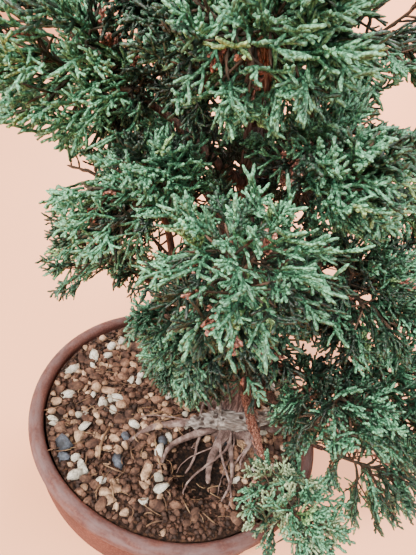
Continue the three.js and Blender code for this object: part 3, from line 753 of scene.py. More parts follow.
trunkShape = {
    # height, x, y and radius at each station
    "stations": [(56, 35, 3, 16), (64, 35, 2, 14.5), (76, 34, 1, 11.5), (95, 31, 3, 10), (122, 23, 8, 8.8),
                 (155, 14, 13, 7.4), (190, 6, 14, 6), (225, -1, 12, 4.7), (262, -7, 11, 3.4),
                 (296, -9, 9, 2.2), (322, -10, 8, 1.3)],
    "flute": {"depth": 0.12, "count": 5, "twist": 2.4, "girth": (14, 1)},
    "soilLevel": 60.5, "rootSpring": 11, "rootTaper": 0.68,
    "rootPath": [(0.28, 1.4, 0.2), (0.5, 0.55, 0.7), (0.76, 0.25, 1), (1, -0.15, 0.6)],
    # azimuth, reach, radius, sideways bend
    "roots": [(216, 68, 3.8, 10), (238, 58, 3.4, 12), (264, 46, 4.4, 5), (266, 54, 2.2, -8),
              (165, 44, 4.4, 6), (80, 40, 4.8, -5), (15, 42, 5, 6), (325, 38, 4.4, 5)],
    "sides": 40, "rootSides": 16, "voxel": 0.7, "smoothing": 3, "barkDepth": 0.55, "seed": 12,
    "strips": [5, 7, 9, 12, 16],
    # how deep the bark's relief is at these heights: worn on the roots, boldest above them, fine at the tip
    "reliefByHeight": ([64, 82, 150, 322], [0.7, 1.8, 1.6, 0.5]),
    # fine roots left bare by the hollow, over a fan of azimuths
    "fineRoots": {"count": 13, "fan": (198, 312), "stray": 9, "rise": 6, "from": (8, 15), "spring": (-3, 4),
                  "reach": (26, 64), "radius": (0.4, 1.25), "arch": (-2, 9), "wander": 0.5, "kink": 0.12,
                  "rest": 0.4, "bend": 1.5, "dive": 0.8, "points": 26, "taper": 0.45, "sides": 7},
}
stations = trunkShape["stations"]
trunkPath = smoothPath([(x, y, z) for z, x, y, _ in stations], 30)
trunkRadii = np.interp(trunkPath[:, 2], [s[0] for s in stations], [s[3] for s in stations])


def trunkPointAt(height):
    return np.array([np.interp(height, trunkPath[:, 2], trunkPath[:, k]) for k in range(3)])


def barkMaterial(name, colours, strip, depth, rootColours=None, roughness=0.92):
    # juniper bark: thin fibrous strips that peel along the grain, so the colour runs in long streaks, and
    # washed paler on the bare roots
    material, tree, shader, place = newMaterial(name, roughness)
    colour, _ = mottled(tree, place, strip * 4, colours, detail=5, stretch=(4, 4, 0.8))
    _, fibres = mottled(tree, place, strip * 3, colours[:2], detail=4, stretch=(5, 5, 0.6))
    if rootColours:
        washed, _ = mottled(tree, place, strip * 5, rootColours, detail=6)
        height = addNode(tree, "SeparateXYZ", {"Vector": place}).outputs["Z"]
        above = addNode(tree, "MapRange", {"Value": height, "From Min": 62 * mm, "From Max": 74 * mm})
        mixed = addNode(tree, "Mix", {"Factor": above.outputs["Result"], "A": washed, "B": colour},
                        data_type="RGBA")
        colour = mixed.outputs["Result"]
    dress(tree, shader, colour, fibres, depth)
    return material


ridgeSpans = {"drift": (-0.02, 0.02), "phase": (0, 6.3), "weight": (0.6, 1.4), "wander": (14, 40)}


def barkRelief(rng, depth, strips):
    # peeling strips: ridges that wander round a limb as they run along it
    waves = [[count] + [rng.uniform(*span) for span in ridgeSpans.values()] for count in strips]

    def relief(length, angle):
        total = 0
        for count, drift, phase, weight, wander in waves:
            sway = 1.4 * np.sin(length / wander + phase * 2)
            ridge = np.abs(np.sin(count * angle / 2 + drift * length * count + phase + sway))
            total = total + weight * (1 - 2 * ridge)
        return total * depth / len(waves)

    return relief


def rootPaths(shape):
    foot = trunkPointAt(shape["soilLevel"] + shape["rootSpring"])
    for azimuth, reach, radius, bend in shape["roots"]:
        out = heading(azimuth)
        side = np.cross(out, upward) * bend
        line = [foot + out * 2]
        for share, height, sideShare in shape["rootPath"]:
            point = foot + out * reach * share + side * sideShare
            point[2] = shape["soilLevel"] + height * radius
            line.append(point)
        path = smoothPath(line, 10)
        yield path, radius * (1 - shape["rootTaper"] * sharesAlong(path))


def remeshed(name, parts, voxel, smoothing):
    # overlapping closed tubes fused into one skin
    vertices, faces = joinMeshes(parts)
    mesh = bpy.data.meshes.new(name)
    mesh.from_pydata((vertices * mm).tolist(), [], faces.tolist())
    body = newObject(name, mesh)
    deselectAll()
    bpy.context.view_layer.objects.active = body
    body.select_set(True)
    fuse = body.modifiers.new("fuse", "REMESH")
    fuse.mode = "VOXEL"
    fuse.voxel_size = voxel * mm
    ease = body.modifiers.new("ease", "SMOOTH")
    ease.factor = 0.6
    ease.iterations = smoothing
    bpy.ops.object.modifier_apply(modifier=fuse.name)
    bpy.ops.object.modifier_apply(modifier=ease.name)
    bpy.ops.object.shade_smooth()
    return body


def pushSkin(body, shift):
    # moves each vertex along its normal by shift(points), in millimetres
    points = vertexValues(body, "co") / mm
    points += vertexValues(body, "normal") * shift(points)[:, None]
    body.data.vertices.foreach_set("co", (points * mm).ravel())
    body.data.update()


def axisCoordinates(points, paths):
    # for each point: how far along the nearest limb it lies, and the angle round that limb
    samples = np.vstack(paths)
    tangents = np.vstack([unit(np.gradient(path, axis=0)) for path in paths])
    lengths = np.concatenate([lengthsAlong(path) for path in paths])
    blocks = np.array_split(points, len(points) // 20000 + 1)  # so that the tables of distances stay small
    nearest = np.concatenate([((block[:, None] - samples[None]) ** 2).sum(-1).argmin(1) for block in blocks])
    away = points - samples[nearest]
    side = across(tangents[nearest])
    other = np.cross(tangents[nearest], side)
    return lengths[nearest], np.arctan2((away * other).sum(-1), (away * side).sum(-1))


def buildFineRoots(shape, bark, rng):
    # thin bare roots that fan out from the trunk's foot and arch over the hollow
    fine = shape["fineRoots"]
    foot = trunkPointAt(shape["soilLevel"] + fine["rise"])
    parts = []
    for i in range(fine["count"]):
        azimuth = np.interp(i + rng.uniform(0, 1), [0, fine["count"]], fine["fan"])
        out, reach = heading(azimuth), rng.uniform(*fine["reach"])
        start = foot + out * rng.uniform(*fine["from"]) + upward * rng.uniform(*fine["spring"])
        end = foot + heading(azimuth + rng.normal(scale=fine["stray"])) * reach
        end[2] = soilHeight(end[0], end[1], gritShape) + fine["rest"]
        side = np.cross(out, upward) * rng.normal(scale=fine["wander"]) * reach
        high = upward * rng.uniform(*fine["arch"])
        leaving = start + (end - start) * 0.35 + side + high
        turning = start + (end - start) * 0.7 - side * 0.6 + high * 0.7
        landing, buried = end + upward * fine["bend"], end - upward * fine["dive"]
        path = bezier([start, leaving, turning, landing, buried], fine["points"])
        path = path + rng.normal(scale=fine["kink"], size=path.shape)
        radii = rng.uniform(*fine["radius"]) * np.linspace(1, fine["taper"], len(path))
        parts.append(limbMesh(path, radii, fine["sides"]))
    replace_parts(meshPiece("fine_roots", joinMeshes(parts), bark), "trunk")


def buildTrunk(shape):
    rng = np.random.default_rng(shape["seed"])
    flute = shape["flute"]
    total = lengthsAlong(trunkPath)[-1]

    def ribs(length, angle):
        share = length / total
        rib = np.cos(flute["count"] * angle + flute["twist"] * share * fullTurn)
        return np.interp(share, [0, 1], flute["girth"]) * flute["depth"] * (1 - share) * rib

    roots = list(rootPaths(shape))
    parts = [limbMesh(trunkPath, trunkRadii, shape["sides"], ribs)]
    parts += [limbMesh(path, radii, shape["rootSides"]) for path, radii in roots]
    body = remeshed("trunk_bark", parts, shape["voxel"], shape["smoothing"])
    paths = [trunkPath] + [path for path, _ in roots]
    relief = barkRelief(rng, shape["barkDepth"], shape["strips"])

    def peel(points):
        length, angle = axisCoordinates(points, paths)
        return relief(length, angle) * np.interp(points[:, 2], *shape["reliefByHeight"])

    pushSkin(body, peel)
    bark = barkMaterial("juniper_bark", ["#3A2825", "#5E4843", "#8E7672"], 0.9, 0.5,
                        rootColours=["#46342F", "#6E5852", "#9C8880"])
    body.data.materials.append(bark)
    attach(body, "root")
    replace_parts(body, "trunk")
    buildFineRoots(shape, bark, rng)


deadwoodShape = {
    "stations": [(9, -15, 69), (21, -14, 74.5), (35, -11.5, 78), (49, -6, 79.5), (60, 0, 79)],
    "radius": {"ends": 2.2, "middle": 6.2},
    "knobs": {"share": 0.8, "depth": 0.18, "count": 3, "twist": 5},
    "snag": {"along": 0.3, "top": (-3, 3, 18), "radius": 2.6, "taper": 0.6, "rings": 12, "sides": 14},
    # slivers of torn grain at each end, and lumps where twigs once grew
    "slivers": {"count": 7, "length": (3, 6), "radius": 1.4, "taper": 0.3, "spread": 0.5,
                "rings": 6, "sides": 8},
    "lumps": {"count": 15, "radius": (1.6, 3.6), "profile": (0.9, 1, 0.85, 0.5), "sides": 10},
    "pits": {"count": 34, "radius": (0.9, 2.6), "depth": 2.6},
    "between": (0.06, 0.94), "sunk": 0.9, "sides": 28,
    "voxel": 0.45, "smoothing": 2, "grainDepth": 0.9, "strips": [6, 9, 13, 17], "seed": 5,
}


def deadwoodMaterial():
    # bare weathered juniper wood: silver grey, darker in its pits, and with fine open grain
    material, tree, shader, place = newMaterial("weathered_deadwood", 0.88)
    bare, _ = mottled(tree, place, 5, ["#574D47", "#7F7670", "#A29B94"], detail=6, stretch=(1, 3, 3))
    _, grain = mottled(tree, place, 2.5, ["#5B4A42", "#97887D"], detail=4, stretch=(0.6, 4, 4))
    pitDarkening = addNode(tree, "Attribute", attribute_name="pitDarkening").outputs["Fac"]
    colour = addNode(tree, "Mix", {"Factor": pitDarkening, "A": bare, "B": linear("#33221C")}, data_type="RGBA")
    dress(tree, shader, colour.outputs["Result"], grain, 0.4)
    return material


def buildDeadwood(shape):
    knobs, snag, girth, slivers = shape["knobs"], shape["snag"], shape["radius"], shape["slivers"]
    lumps, pits = shape["lumps"], shape["pits"]
    rng = np.random.default_rng(shape["seed"])
    path = smoothPath(shape["stations"], 16)
    total, shares = lengthsAlong(path)[-1], sharesAlong(path)
    radii = girth["ends"] + (girth["middle"] - girth["ends"]) * np.sin(shares * math.pi)

    def knobbly(length, angle):
        knob = knobs["depth"] * np.cos(knobs["count"] * angle + knobs["twist"] * length / total)
        return girth["middle"] * knobs["share"] * knob

    foot = pointsAt(path, snag["along"])
    upright = np.linspace(foot, foot + np.array(snag["top"], float), snag["rings"])
    snagRadii = snag["radius"] * (1 - snag["taper"] * np.linspace(0, 1, snag["rings"]))
    parts = [limbMesh(path, radii, shape["sides"], knobbly), limbMesh(upright, snagRadii, snag["sides"])]
    for end, out in ((path[2], unit(path[0] - path[3])), (path[-3], unit(path[-1] - path[-4])),
                     (upright[-2], unit(upright[-1] - upright[0]))):
        for _ in range(slivers["count"]):
            lean = unit(out + rng.normal(scale=slivers["spread"], size=3))
            start = end + rng.normal(scale=slivers["radius"], size=3)
            torn = np.linspace(start, start + lean * rng.uniform(*slivers["length"]), slivers["rings"])
            tornRadii = slivers["radius"] * np.linspace(1, slivers["taper"], slivers["rings"])
            parts.append(limbMesh(torn, tornRadii, slivers["sides"]))
    onLog = []
    for radius in np.concatenate([rng.uniform(*lumps["radius"], lumps["count"]),
                                  rng.uniform(*pits["radius"], pits["count"])]):
        share = rng.uniform(*shape["between"])
        outward = unit(np.cross(unit(path[-1] - path[0]), rng.normal(size=3)))
        surface = pointsAt(path, share) + outward * np.interp(share, shares, radii) * shape["sunk"]
        onLog.append((surface, outward, radius))
    for surface, outward, radius in onLog[:lumps["count"]]:
        inside, outside = surface - outward * radius, surface + outward * radius * 0.5
        lump = np.linspace(inside, outside, len(lumps["profile"]))
        parts.append(limbMesh(lump, radius * np.array(lumps["profile"]), lumps["sides"]))
    body = remeshed("deadwood_grain", parts, shape["voxel"], shape["smoothing"])
    relief = barkRelief(rng, shape["grainDepth"], shape["strips"])
    pitted = []

    def weather(points):
        length, angle = axisCoordinates(points, [path, upright])
        depths = np.zeros(len(points))
        for surface, outward, radius in onLog[lumps["count"]:]:
            away = np.linalg.norm(points - surface - outward, axis=1)
            depths = np.maximum(depths, np.clip(1 - (away / radius) ** 2, 0, 1))
        pitted.append(depths)
        return relief(length, angle) - pits["depth"] * depths

    pushSkin(body, weather)
    # the pits are marked, and the material colours them darker
    pitDarkening = body.data.attributes.new("pitDarkening", "FLOAT", "POINT")
    pitDarkening.data.foreach_set("value", np.clip(pitted[0] * 1.5, 0, 0.9).astype(np.float32))
    body.data.materials.append(deadwoodMaterial())
    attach(body, "root")
    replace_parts(body, "deadwood_stub")


buildTrunk(trunkShape)
buildDeadwood(deadwoodShape)
print("trunk and deadwood built")


# Crown plan: the boughs and the masses that they carry, as in the part's source

crownPlan = [
    # name, height on the trunk or (bough, share), azimuth, reach, level, size, girth, rise
    ("low_front", 96, -43, 90, 86, 33, 3.4, 0.1),
    ("low_far_right", 100, -12, 113, 86, 43, 3.8, 0.3),
    ("low_centre", 104, -92, 23, 131, 30, 3, 0.6),
    ("low_right_front", 112, -33, 78, 146, 41, 4.2, 0.4),
    ("right_front", ("low_right_front", 0.5), -18, 101, 144, 45, 2.6, 0.3),
    ("low_back_right", 118, 48, 86, 140, 48, 4.6, 0.3),
    ("low_back", 108, 90, 76, 128, 46, 4.4, 0.3),
    ("low_back_left", 126, 131, 78, 148, 48, 4.4, 0.3),
    ("low_left", 134, 171, 67, 153, 38, 4.2, 0.2),
    ("mid_left", ("low_left", 0.42), 176, 65, 199, 39, 2.6, 0.3),
    ("mid_centre", 152, -93, 41, 168, 37, 3.2, 0.5),
    ("centre", 138, -60, 42, 168, 38, 3, 0.6),
    ("right", 146, 16, 88, 178, 46, 4, 0.4),
    ("mid_right", 160, -22, 60, 190, 45, 3.4, 0.5),
    ("front", 172, -84, 56, 208, 47, 3.6, 0.5),
    ("front_left", ("front", 0.4), -136, 46, 214, 43, 2.2, 0.3),
    ("mid_front", 198, -58, 40, 240, 42, 2.6, 0.7),
    ("back", 166, 88, 72, 194, 48, 3.6, 0.4),
    ("back_left", 180, 134, 74, 208, 48, 3.6, 0.4),
    ("upper_right", 192, 14, 68, 227, 44, 3.4, 0.5),
    ("upper_back_right", 206, 60, 66, 247, 43, 3, 0.6),
    ("high_right", 234, 38, 37, 284, 40, 2.4, 0.7),
    ("upper_left", 212, -163, 75, 249, 46, 3, 0.4),
    ("high_left", 236, 172, 46, 284, 45, 2.4, 0.7),
    ("upper_back", 222, 104, 58, 264, 46, 2.8, 0.6),
    ("upper_front", 240, -108, 38, 276, 46, 2.4, 0.6),
    ("top_back", 282, 75, 26, 308, 42, 0, 0),
    ("top_front", 288, -130, 22, 314, 41, 0, 0),
    ("apex", 322, 140, 12, 336, 38, 0, 0),
]

boughShape = {
    "seed": 4172, "tipRadius": 1.3, "lift": 0.25, "start": 0.38, "end": 0.34, "sway": 0.22, "sag": 0.04,
    "tipInMass": 0.56, "sides": 14, "ringStep": 1.3, "barkDepth": 0.5, "flaking": ("low_front",),
    "flakes": {"spacing": 0.9, "length": (3, 8), "radius": (0.25, 0.6), "lift": (0.05, 0.35),
               "curl": (-0.3, 0.5)},
    "strips": [2, 3, 5, 7], "stubStrips": [3, 5, 7], "stubRings": 12, "stubSides": 12, "stubTaper": 0.75,
    # dead stubs that stand bare of the foliage: foot, end, radius
    "stubs": [((-3.4, -43.5, 262), (-7.8, -47, 274.6), 1.15), ((36, -8, 100), (43.5, -12, 109), 2.1)],
}


def massCentre(azimuth, reach, level):
    return heading(azimuth) * reach + upward * level


def springPoint(origin, boughs):
    if isinstance(origin, tuple):
        return pointsAt(boughs[origin[0]]["path"], origin[1])
    return trunkPointAt(origin)


def growBoughs(shape):
    sway = seededRandom(shape["seed"])
    boughs = {}
    for name, origin, azimuth, reach, level, size, girth, rise in crownPlan:
        start, centre = springPoint(origin, boughs), massCentre(azimuth, reach, level)
        if not girth:
            boughs[name] = {"tip": start, "heading": unit(centre - start)}
            continue
        flat = unit((centre - start) * np.array([1, 1, 0]))
        endHeading = unit(flat + upward * shape["lift"])
        tip = centre - endHeading * shape["tipInMass"] * size
        length = np.linalg.norm(tip - start)
        side = np.cross(flat, upward) * (next(sway) - 0.5) * shape["sway"] * length
        leaving = start + unit(flat + upward * rise) * shape["start"] * length + side
        arriving = tip - endHeading * shape["end"] * length - side - upward * shape["sag"] * length
        path = bezier([start, leaving, arriving, tip], 60)
        shares = sharesAlong(path)
        radii = girth * (1 - shares) + shape["tipRadius"] * shares
        boughs[name] = {"path": path, "radii": radii, "tip": tip, "heading": endHeading, "length": length}
    return boughs


def barkFlakes(path, radii, flakes, rng):
    # strips of bark that have come loose along a limb
    count = int(lengthsAlong(path)[-1] / flakes["spacing"])
    at = rng.random(count)
    along = unit(pointsAt(path, np.minimum(at + 0.02, 1)) - pointsAt(path, np.maximum(at - 0.02, 0)))
    outward = turned(across(along), along, rng.uniform(0, fullTurn, count))
    start = pointsAt(path, at) + outward * np.interp(at, np.linspace(0, 1, len(radii)), radii)[:, None]
    upOrDown = rng.choice([-1.0, 1.0], (count, 1))
    lean = unit(along * upOrDown + outward * rng.uniform(*flakes["lift"], (count, 1)))
    end = start + lean * rng.uniform(*flakes["length"], (count, 1))
    bow = outward * rng.uniform(*flakes["curl"], (count, 1))
    return cordMesh(start, end, rng.uniform(*flakes["radius"], count), bow, 4)[:2]


def buildBoughs(shape, boughs):
    rng = np.random.default_rng(shape["seed"])
    # young bark's colour, darkened further as a painted shade for the crown's dark inside
    youngBarkShadedColours = ["#2A1D19", "#4A332B", "#6E5044"]
    flakingColours = ["#45271F", "#7A4838", "#A97F6D"]  # red-brown where flakes have come off
    finishes = {
        "bough_bark": barkMaterial("young_juniper_bark", youngBarkShadedColours, 0.8, 0.35),
        "flaking_bough_bark": barkMaterial("flaking_juniper_bark", flakingColours, 0.7, 0.7),
    }
    parts = {piece: [] for piece in finishes}
    replaced = {piece: [] for piece in finishes}
    for name, bough in boughs.items():
        if "path" not in bough:
            continue
        flaking = name in shape["flaking"]
        piece = "flaking_bough_bark" if flaking else "bough_bark"
        shares = np.linspace(0, 1, int(bough["length"] / shape["ringStep"]))
        path = pointsAt(bough["path"], shares)
        radii = bough["radii"][0] * (1 - shares) + bough["radii"][-1] * shares
        relief = barkRelief(rng, shape["barkDepth"] * (2 if flaking else 1), shape["strips"])
        parts[piece].append(limbMesh(path, radii, shape["sides"], relief))
        if flaking:
            parts[piece].append(barkFlakes(path, radii, shape["flakes"], rng))
        replaced[piece].append("bough_" + name)
    for foot, end, radius in shape["stubs"]:
        middle = (np.array(foot) + end) / 2 + rng.normal(scale=1, size=3)
        torn = bezier([foot, middle, end], shape["stubRings"])
        relief = barkRelief(rng, shape["barkDepth"] * 2, shape["stubStrips"])
        radii = radius * np.linspace(1, shape["stubTaper"], shape["stubRings"])
        parts["flaking_bough_bark"].append(limbMesh(torn, radii, shape["stubSides"], relief))
        parts["flaking_bough_bark"].append(barkFlakes(torn, radii, shape["flakes"], rng))
    for piece, material in finishes.items():
        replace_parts(meshPiece(piece, joinMeshes(parts[piece]), material), *replaced[piece])


boughs = growBoughs(boughShape)
buildBoughs(boughShape, boughs)
print("boughs built")


# Foliage: whipcord shoots in flat sprays, on twigs that grow from one stem in each mass

leafMargin = 4.0  # how far leaves may pass the CAD box, in millimetres
crownReach = np.array([list(corner) for corner in cadBox]) / mm + [[-leafMargin], [leafMargin]]
massShape = {
    "flatness": 0.9, "gap": 0.3, "stemShare": 0.55, "stemSag": 0.06, "stemGap": 0.45, "stemRadius": 1.4,
}
twigShape = {
    "primaries": 15, "primaryFrom": 0.12, "primaryTo": 0.98, "primaryShare": 0.5, "primaryRadius": 1.0,
    "uneven": (0.6, 1.2), "leanBack": -0.75, "leanForward": 0.95, "primaryBend": 0.05, "slot": (0.2, 0.8),
    "secondaries": 6, "secondaryFrom": 0.38, "secondaryRun": 0.6, "secondaryShare": 0.4,
    "secondaryRadius": 0.6, "secondaryLongest": 12, "secondaryUneven": (0.7, 1.2), "secondaryBend": 0.06,
    "secondaryAngle": 68, "anglesClose": 30,  # degrees at a twig's foot, and how many fewer at its tip
    "midSprays": 0.6, "midAngle": (0.6, 1.1),  # radians
    "stemSprays": 12, "stemFrom": 0.2, "stemAngles": (1.5, 0.3),  # radians, at the stem's foot and at its tip
    "bareTwigs": 0.2,  # of the twigs that end in an opening, the share that crosses it bare
    "axisPull": 0.35, "outward": 0.35, "scatter": 0.18, "faceOut": 0.7, "faceUp": 0.5, "faceScatter": 0.45,
    "tuftFill": (0.5, 1),  # some tufts stand out, and some fall back
    "segments": 6, "seed": 900,
}
sprayShape = {
    "longest": 28, "shortest": 7, "fill": (0.8, 0.97), "unevenLength": (0.7, 1), "clearance": 1.2,
    "axisBow": (0.5, 1, 0.6), "curl": 0.09, "deadShare": 0.42, "radius": 0.82, "unevenRadius": (0.85, 1.15),
    "angle": 38, "angleScatter": 12,  # degrees
    "shoots": 6, "shootsFrom": 0.1, "shootsTo": 0.9, "shift": 0.03,
    "wideAtFoot": 1.15, "closeToTip": 0.35, "shootShare": 0.6, "tipShare": 0.3, "outOfFlat": 0.24,
    "unevenShoots": (0.65, 1.15), "shortestShoot": 2, "shootRadius": 0.95, "bend": 0.05, "wallGap": 0.5,
    "offshoots": 4, "forkAngle": (0.55, 0.85),  # radians
    "forkFrom": (0.38, 0.72), "forkShare": (0.35, 0.6), "forkOutOfFlat": 0.3, "shortestFork": 1.6,
    "forkRadius": 0.9,
    "clearAt": (0.35, 0.7, 1), "bendBack": 0.3, "youth": 0.5, "forkYouth": 0.3,
}
# how full of twigs a mass is, where it differs from the rest
fullness = {
    "low_far_right": 1.2, "low_front": 0.9, "low_centre": 0.8, "low_right_front": 1.5, "right_front": 1.5,
    "low_back_right": 1.5, "mid_right": 1.3, "right": 1.5, "high_left": 2.5, "upper_back": 1.5,
    "back_left": 1.7, "low_left": 0.66, "mid_left": 0.72, "upper_front": 1.9, "mid_front": 1.2, "front": 1.2,
    "front_left": 1.5, "mid_centre": 1.2, "upper_left": 1.4, "centre": 1.2,
}
# how fat the shoots of a mass are: slimmer where they are seen from close by, fatter at the back
stoutness = {
    "centre": 0.98, "low_centre": 0.92, "upper_front": 0.9, "low_left": 0.92, "low_back": 1.2,
    "low_back_left": 1.1, "low_back_right": 1.2, "back": 1.2, "back_left": 1.15, "upper_back": 1.15,
    "upper_back_right": 1.1,
}
# openings that the photograph shows between the shoots: pixel column, row and radius, and how deep, in
# millimetres, if not right through
skyGaps = {
    "before_dead_stub": (266, 56, 11, 122), "before_dead_stub_low": (267, 78, 10, 127),
    "under_near": (232, 176, 12, 130), "left_edge_upper": (47, 165, 16), "left_edge_middle": (66, 179, 10),
    "left_edge_top": (28, 152, 12), "left_edge_high": (20, 182, 22), "left_edge": (12, 236, 31),
    "left_edge_low": (18, 292, 28), "under_left_lobe": (60, 322, 20), "under_left": (99, 289, 13),
    "above_rim": (112, 307, 15), "left_lattice_high": (89, 137, 8), "left_lattice": (86, 172, 9),
    "left_lattice_low": (72, 209, 7), "beside_centre": (168, 243, 15), "above_centre": (200, 198, 6),
    "right_edge": (404, 106, 20), "right_edge_top": (402, 10, 16), "far_right_top": (370, 24, 10),
    "right_of_centre": (331, 271, 8), "right_low": (369, 303, 7), "near_centre_low": (291, 353, 4),
    "under_right": (316, 462, 13), "under_right_middle": (349, 466, 12), "under_right_far": (373, 466, 10),
    "bottom_edge": (284, 548, 8),
}
# where a twig is led so that its leaves close the crown, as in the photograph: pixel column, row and depth
leafPlaces = {
    "mid_right": [(315, 346, 172), (332, 352, 168)],
    "low_right_front": [(338, 360, 202), (318, 352, 206), (307, 345, 204)],
    "high_left": [(135, 30, 172), (152, 58, 170)],
    "upper_left": [(112, 125, 160), (125, 35, 150), (88, 16, 150)],
    "upper_front": [(305, 44, 112), (228, 48, 115), (275, 30, 108)],
    "back_left": [(212, 108, 235)], "back": [(225, 142, 250)], "upper_back_right": [(293, 100, 225)],
    "front_left": [(128, 208, 165)],
}
# where the photograph shows shade with dead tips in it, and sunlit green: pixel column, row and radius;
# sprays there are dealt painted shade or painted light
shadePlaces = {
    "top": (140, 25, 44), "top_low": (155, 78, 34), "behind_near": (195, 124, 22), "middle": (245, 168, 22),
    "middle_right": (296, 168, 24), "behind_left_tuft": (112, 236, 24), "over_pot": (180, 304, 34),
    "under_centre": (318, 372, 40), "over_log": (240, 384, 30), "beside_front": (308, 312, 28),
    "right_low": (328, 412, 18), "right_middle": (352, 292, 22), "left_of_near": (128, 140, 18),
}
litPlaces = {
    "left_tuft": (62, 74, 60), "near_tuft": (262, 82, 62), "middle_tuft": (160, 192, 38),
    "centre_tuft": (258, 266, 42), "left_lobe": (80, 262, 20), "right_tuft": (365, 95, 36),
}
# the share of fresh green in a mass, where it stands in the shade of the rest; the other tufts are dealt deep
# or blue green, a painted shade
sunlit = {
    "low_centre": 0.12, "mid_centre": 0.45, "centre": 0.5, "front": 0.85, "low_front": 0.7, "low_left": 0.6,
    "low_right_front": 0.1, "low_far_right": 0.6, "high_left": 0.5, "right": 0.7, "back_left": 0.3,
    "right_front": 0.15, "mid_right": 0.55, "low_back_left": 0.5, "upper_back": 0.4, "low_back": 0.5,
    "low_back_right": 0.3,
}
# where the shoots of a mass lean, besides outwards, and where those of the rest do
leanings = {
    "low_centre": (0, -0.2, -0.7), "low_right_front": (-0.2, -0.2, 0.4), "mid_right": (-0.1, -0.2, -0.3),
    "right": (0, -0.2, -0.3), "low_far_right": (0.2, -0.3, -0.6), "low_left": (-0.2, -0.3, -0.6),
    "mid_left": (-0.3, -0.3, -0.5), "upper_left": (-0.3, -0.3, -0.3), "mid_centre": (0, -0.3, -0.3),
    "front": (0, -0.3, 0), "front_left": (-0.2, -0.3, -0.2), "upper_front": (-0.1, -0.3, 0.2),
    "apex": (0, 0, 0.6), "rest": (0, 0, 0.1),
}


def makeSpaces():
    centres = np.array([massCentre(*entry[2:5]) for entry in crownPlan])
    sizes = np.array([entry[5] for entry in crownPlan], float)
    spaces = {}
    for i, entry in enumerate(crownPlan):
        others = np.arange(len(crownPlan)) != i
        between = centres[others] - centres[i]
        distance = np.linalg.norm(between, axis=1)
        planes = (distance ** 2 + sizes[i] ** 2 - sizes[others] ** 2) / (2 * distance) - massShape["gap"]
        normals = between / distance[:, None]
        spaces[entry[0]] = {"centre": centres[i], "size": sizes[i], "normals": normals, "planes": planes}
    return spaces


def roomAlong(space, starts, directions):
    # how far straight lines run before they leave the space of their mass
    squash = np.array([1, 1, 1 / massShape["flatness"]])
    away = starts - space["centre"]
    p, d = away * squash, directions * squash
    a, b, c = (d * d).sum(-1), (p * d).sum(-1), (p * p).sum(-1) - space["size"] ** 2
    reach = (np.sqrt(np.maximum(b * b - a * c, 0)) - b) / a
    rise = directions @ space["normals"].T
    left = space["planes"] - away @ space["normals"].T
    wall = np.where(rise > 1e-6, left / np.maximum(rise, 1e-6), 1e9).min(-1)
    toward = np.where(directions > 0, crownReach[1], crownReach[0]) - starts
    sloped = np.abs(directions) > 1e-6
    side = np.where(sloped, toward / np.where(sloped, directions, 1), 1e9)
    return np.clip(np.minimum(np.minimum(reach, wall), side.min(-1)), 0, None)


def branchedOff(along, turns, lean):
    # directions that leave the given ones at an angle, spread round them by turns
    side = turned(across(along), along, turns)
    return unit(along * np.cos(lean)[..., None] + side * np.sin(lean)[..., None])


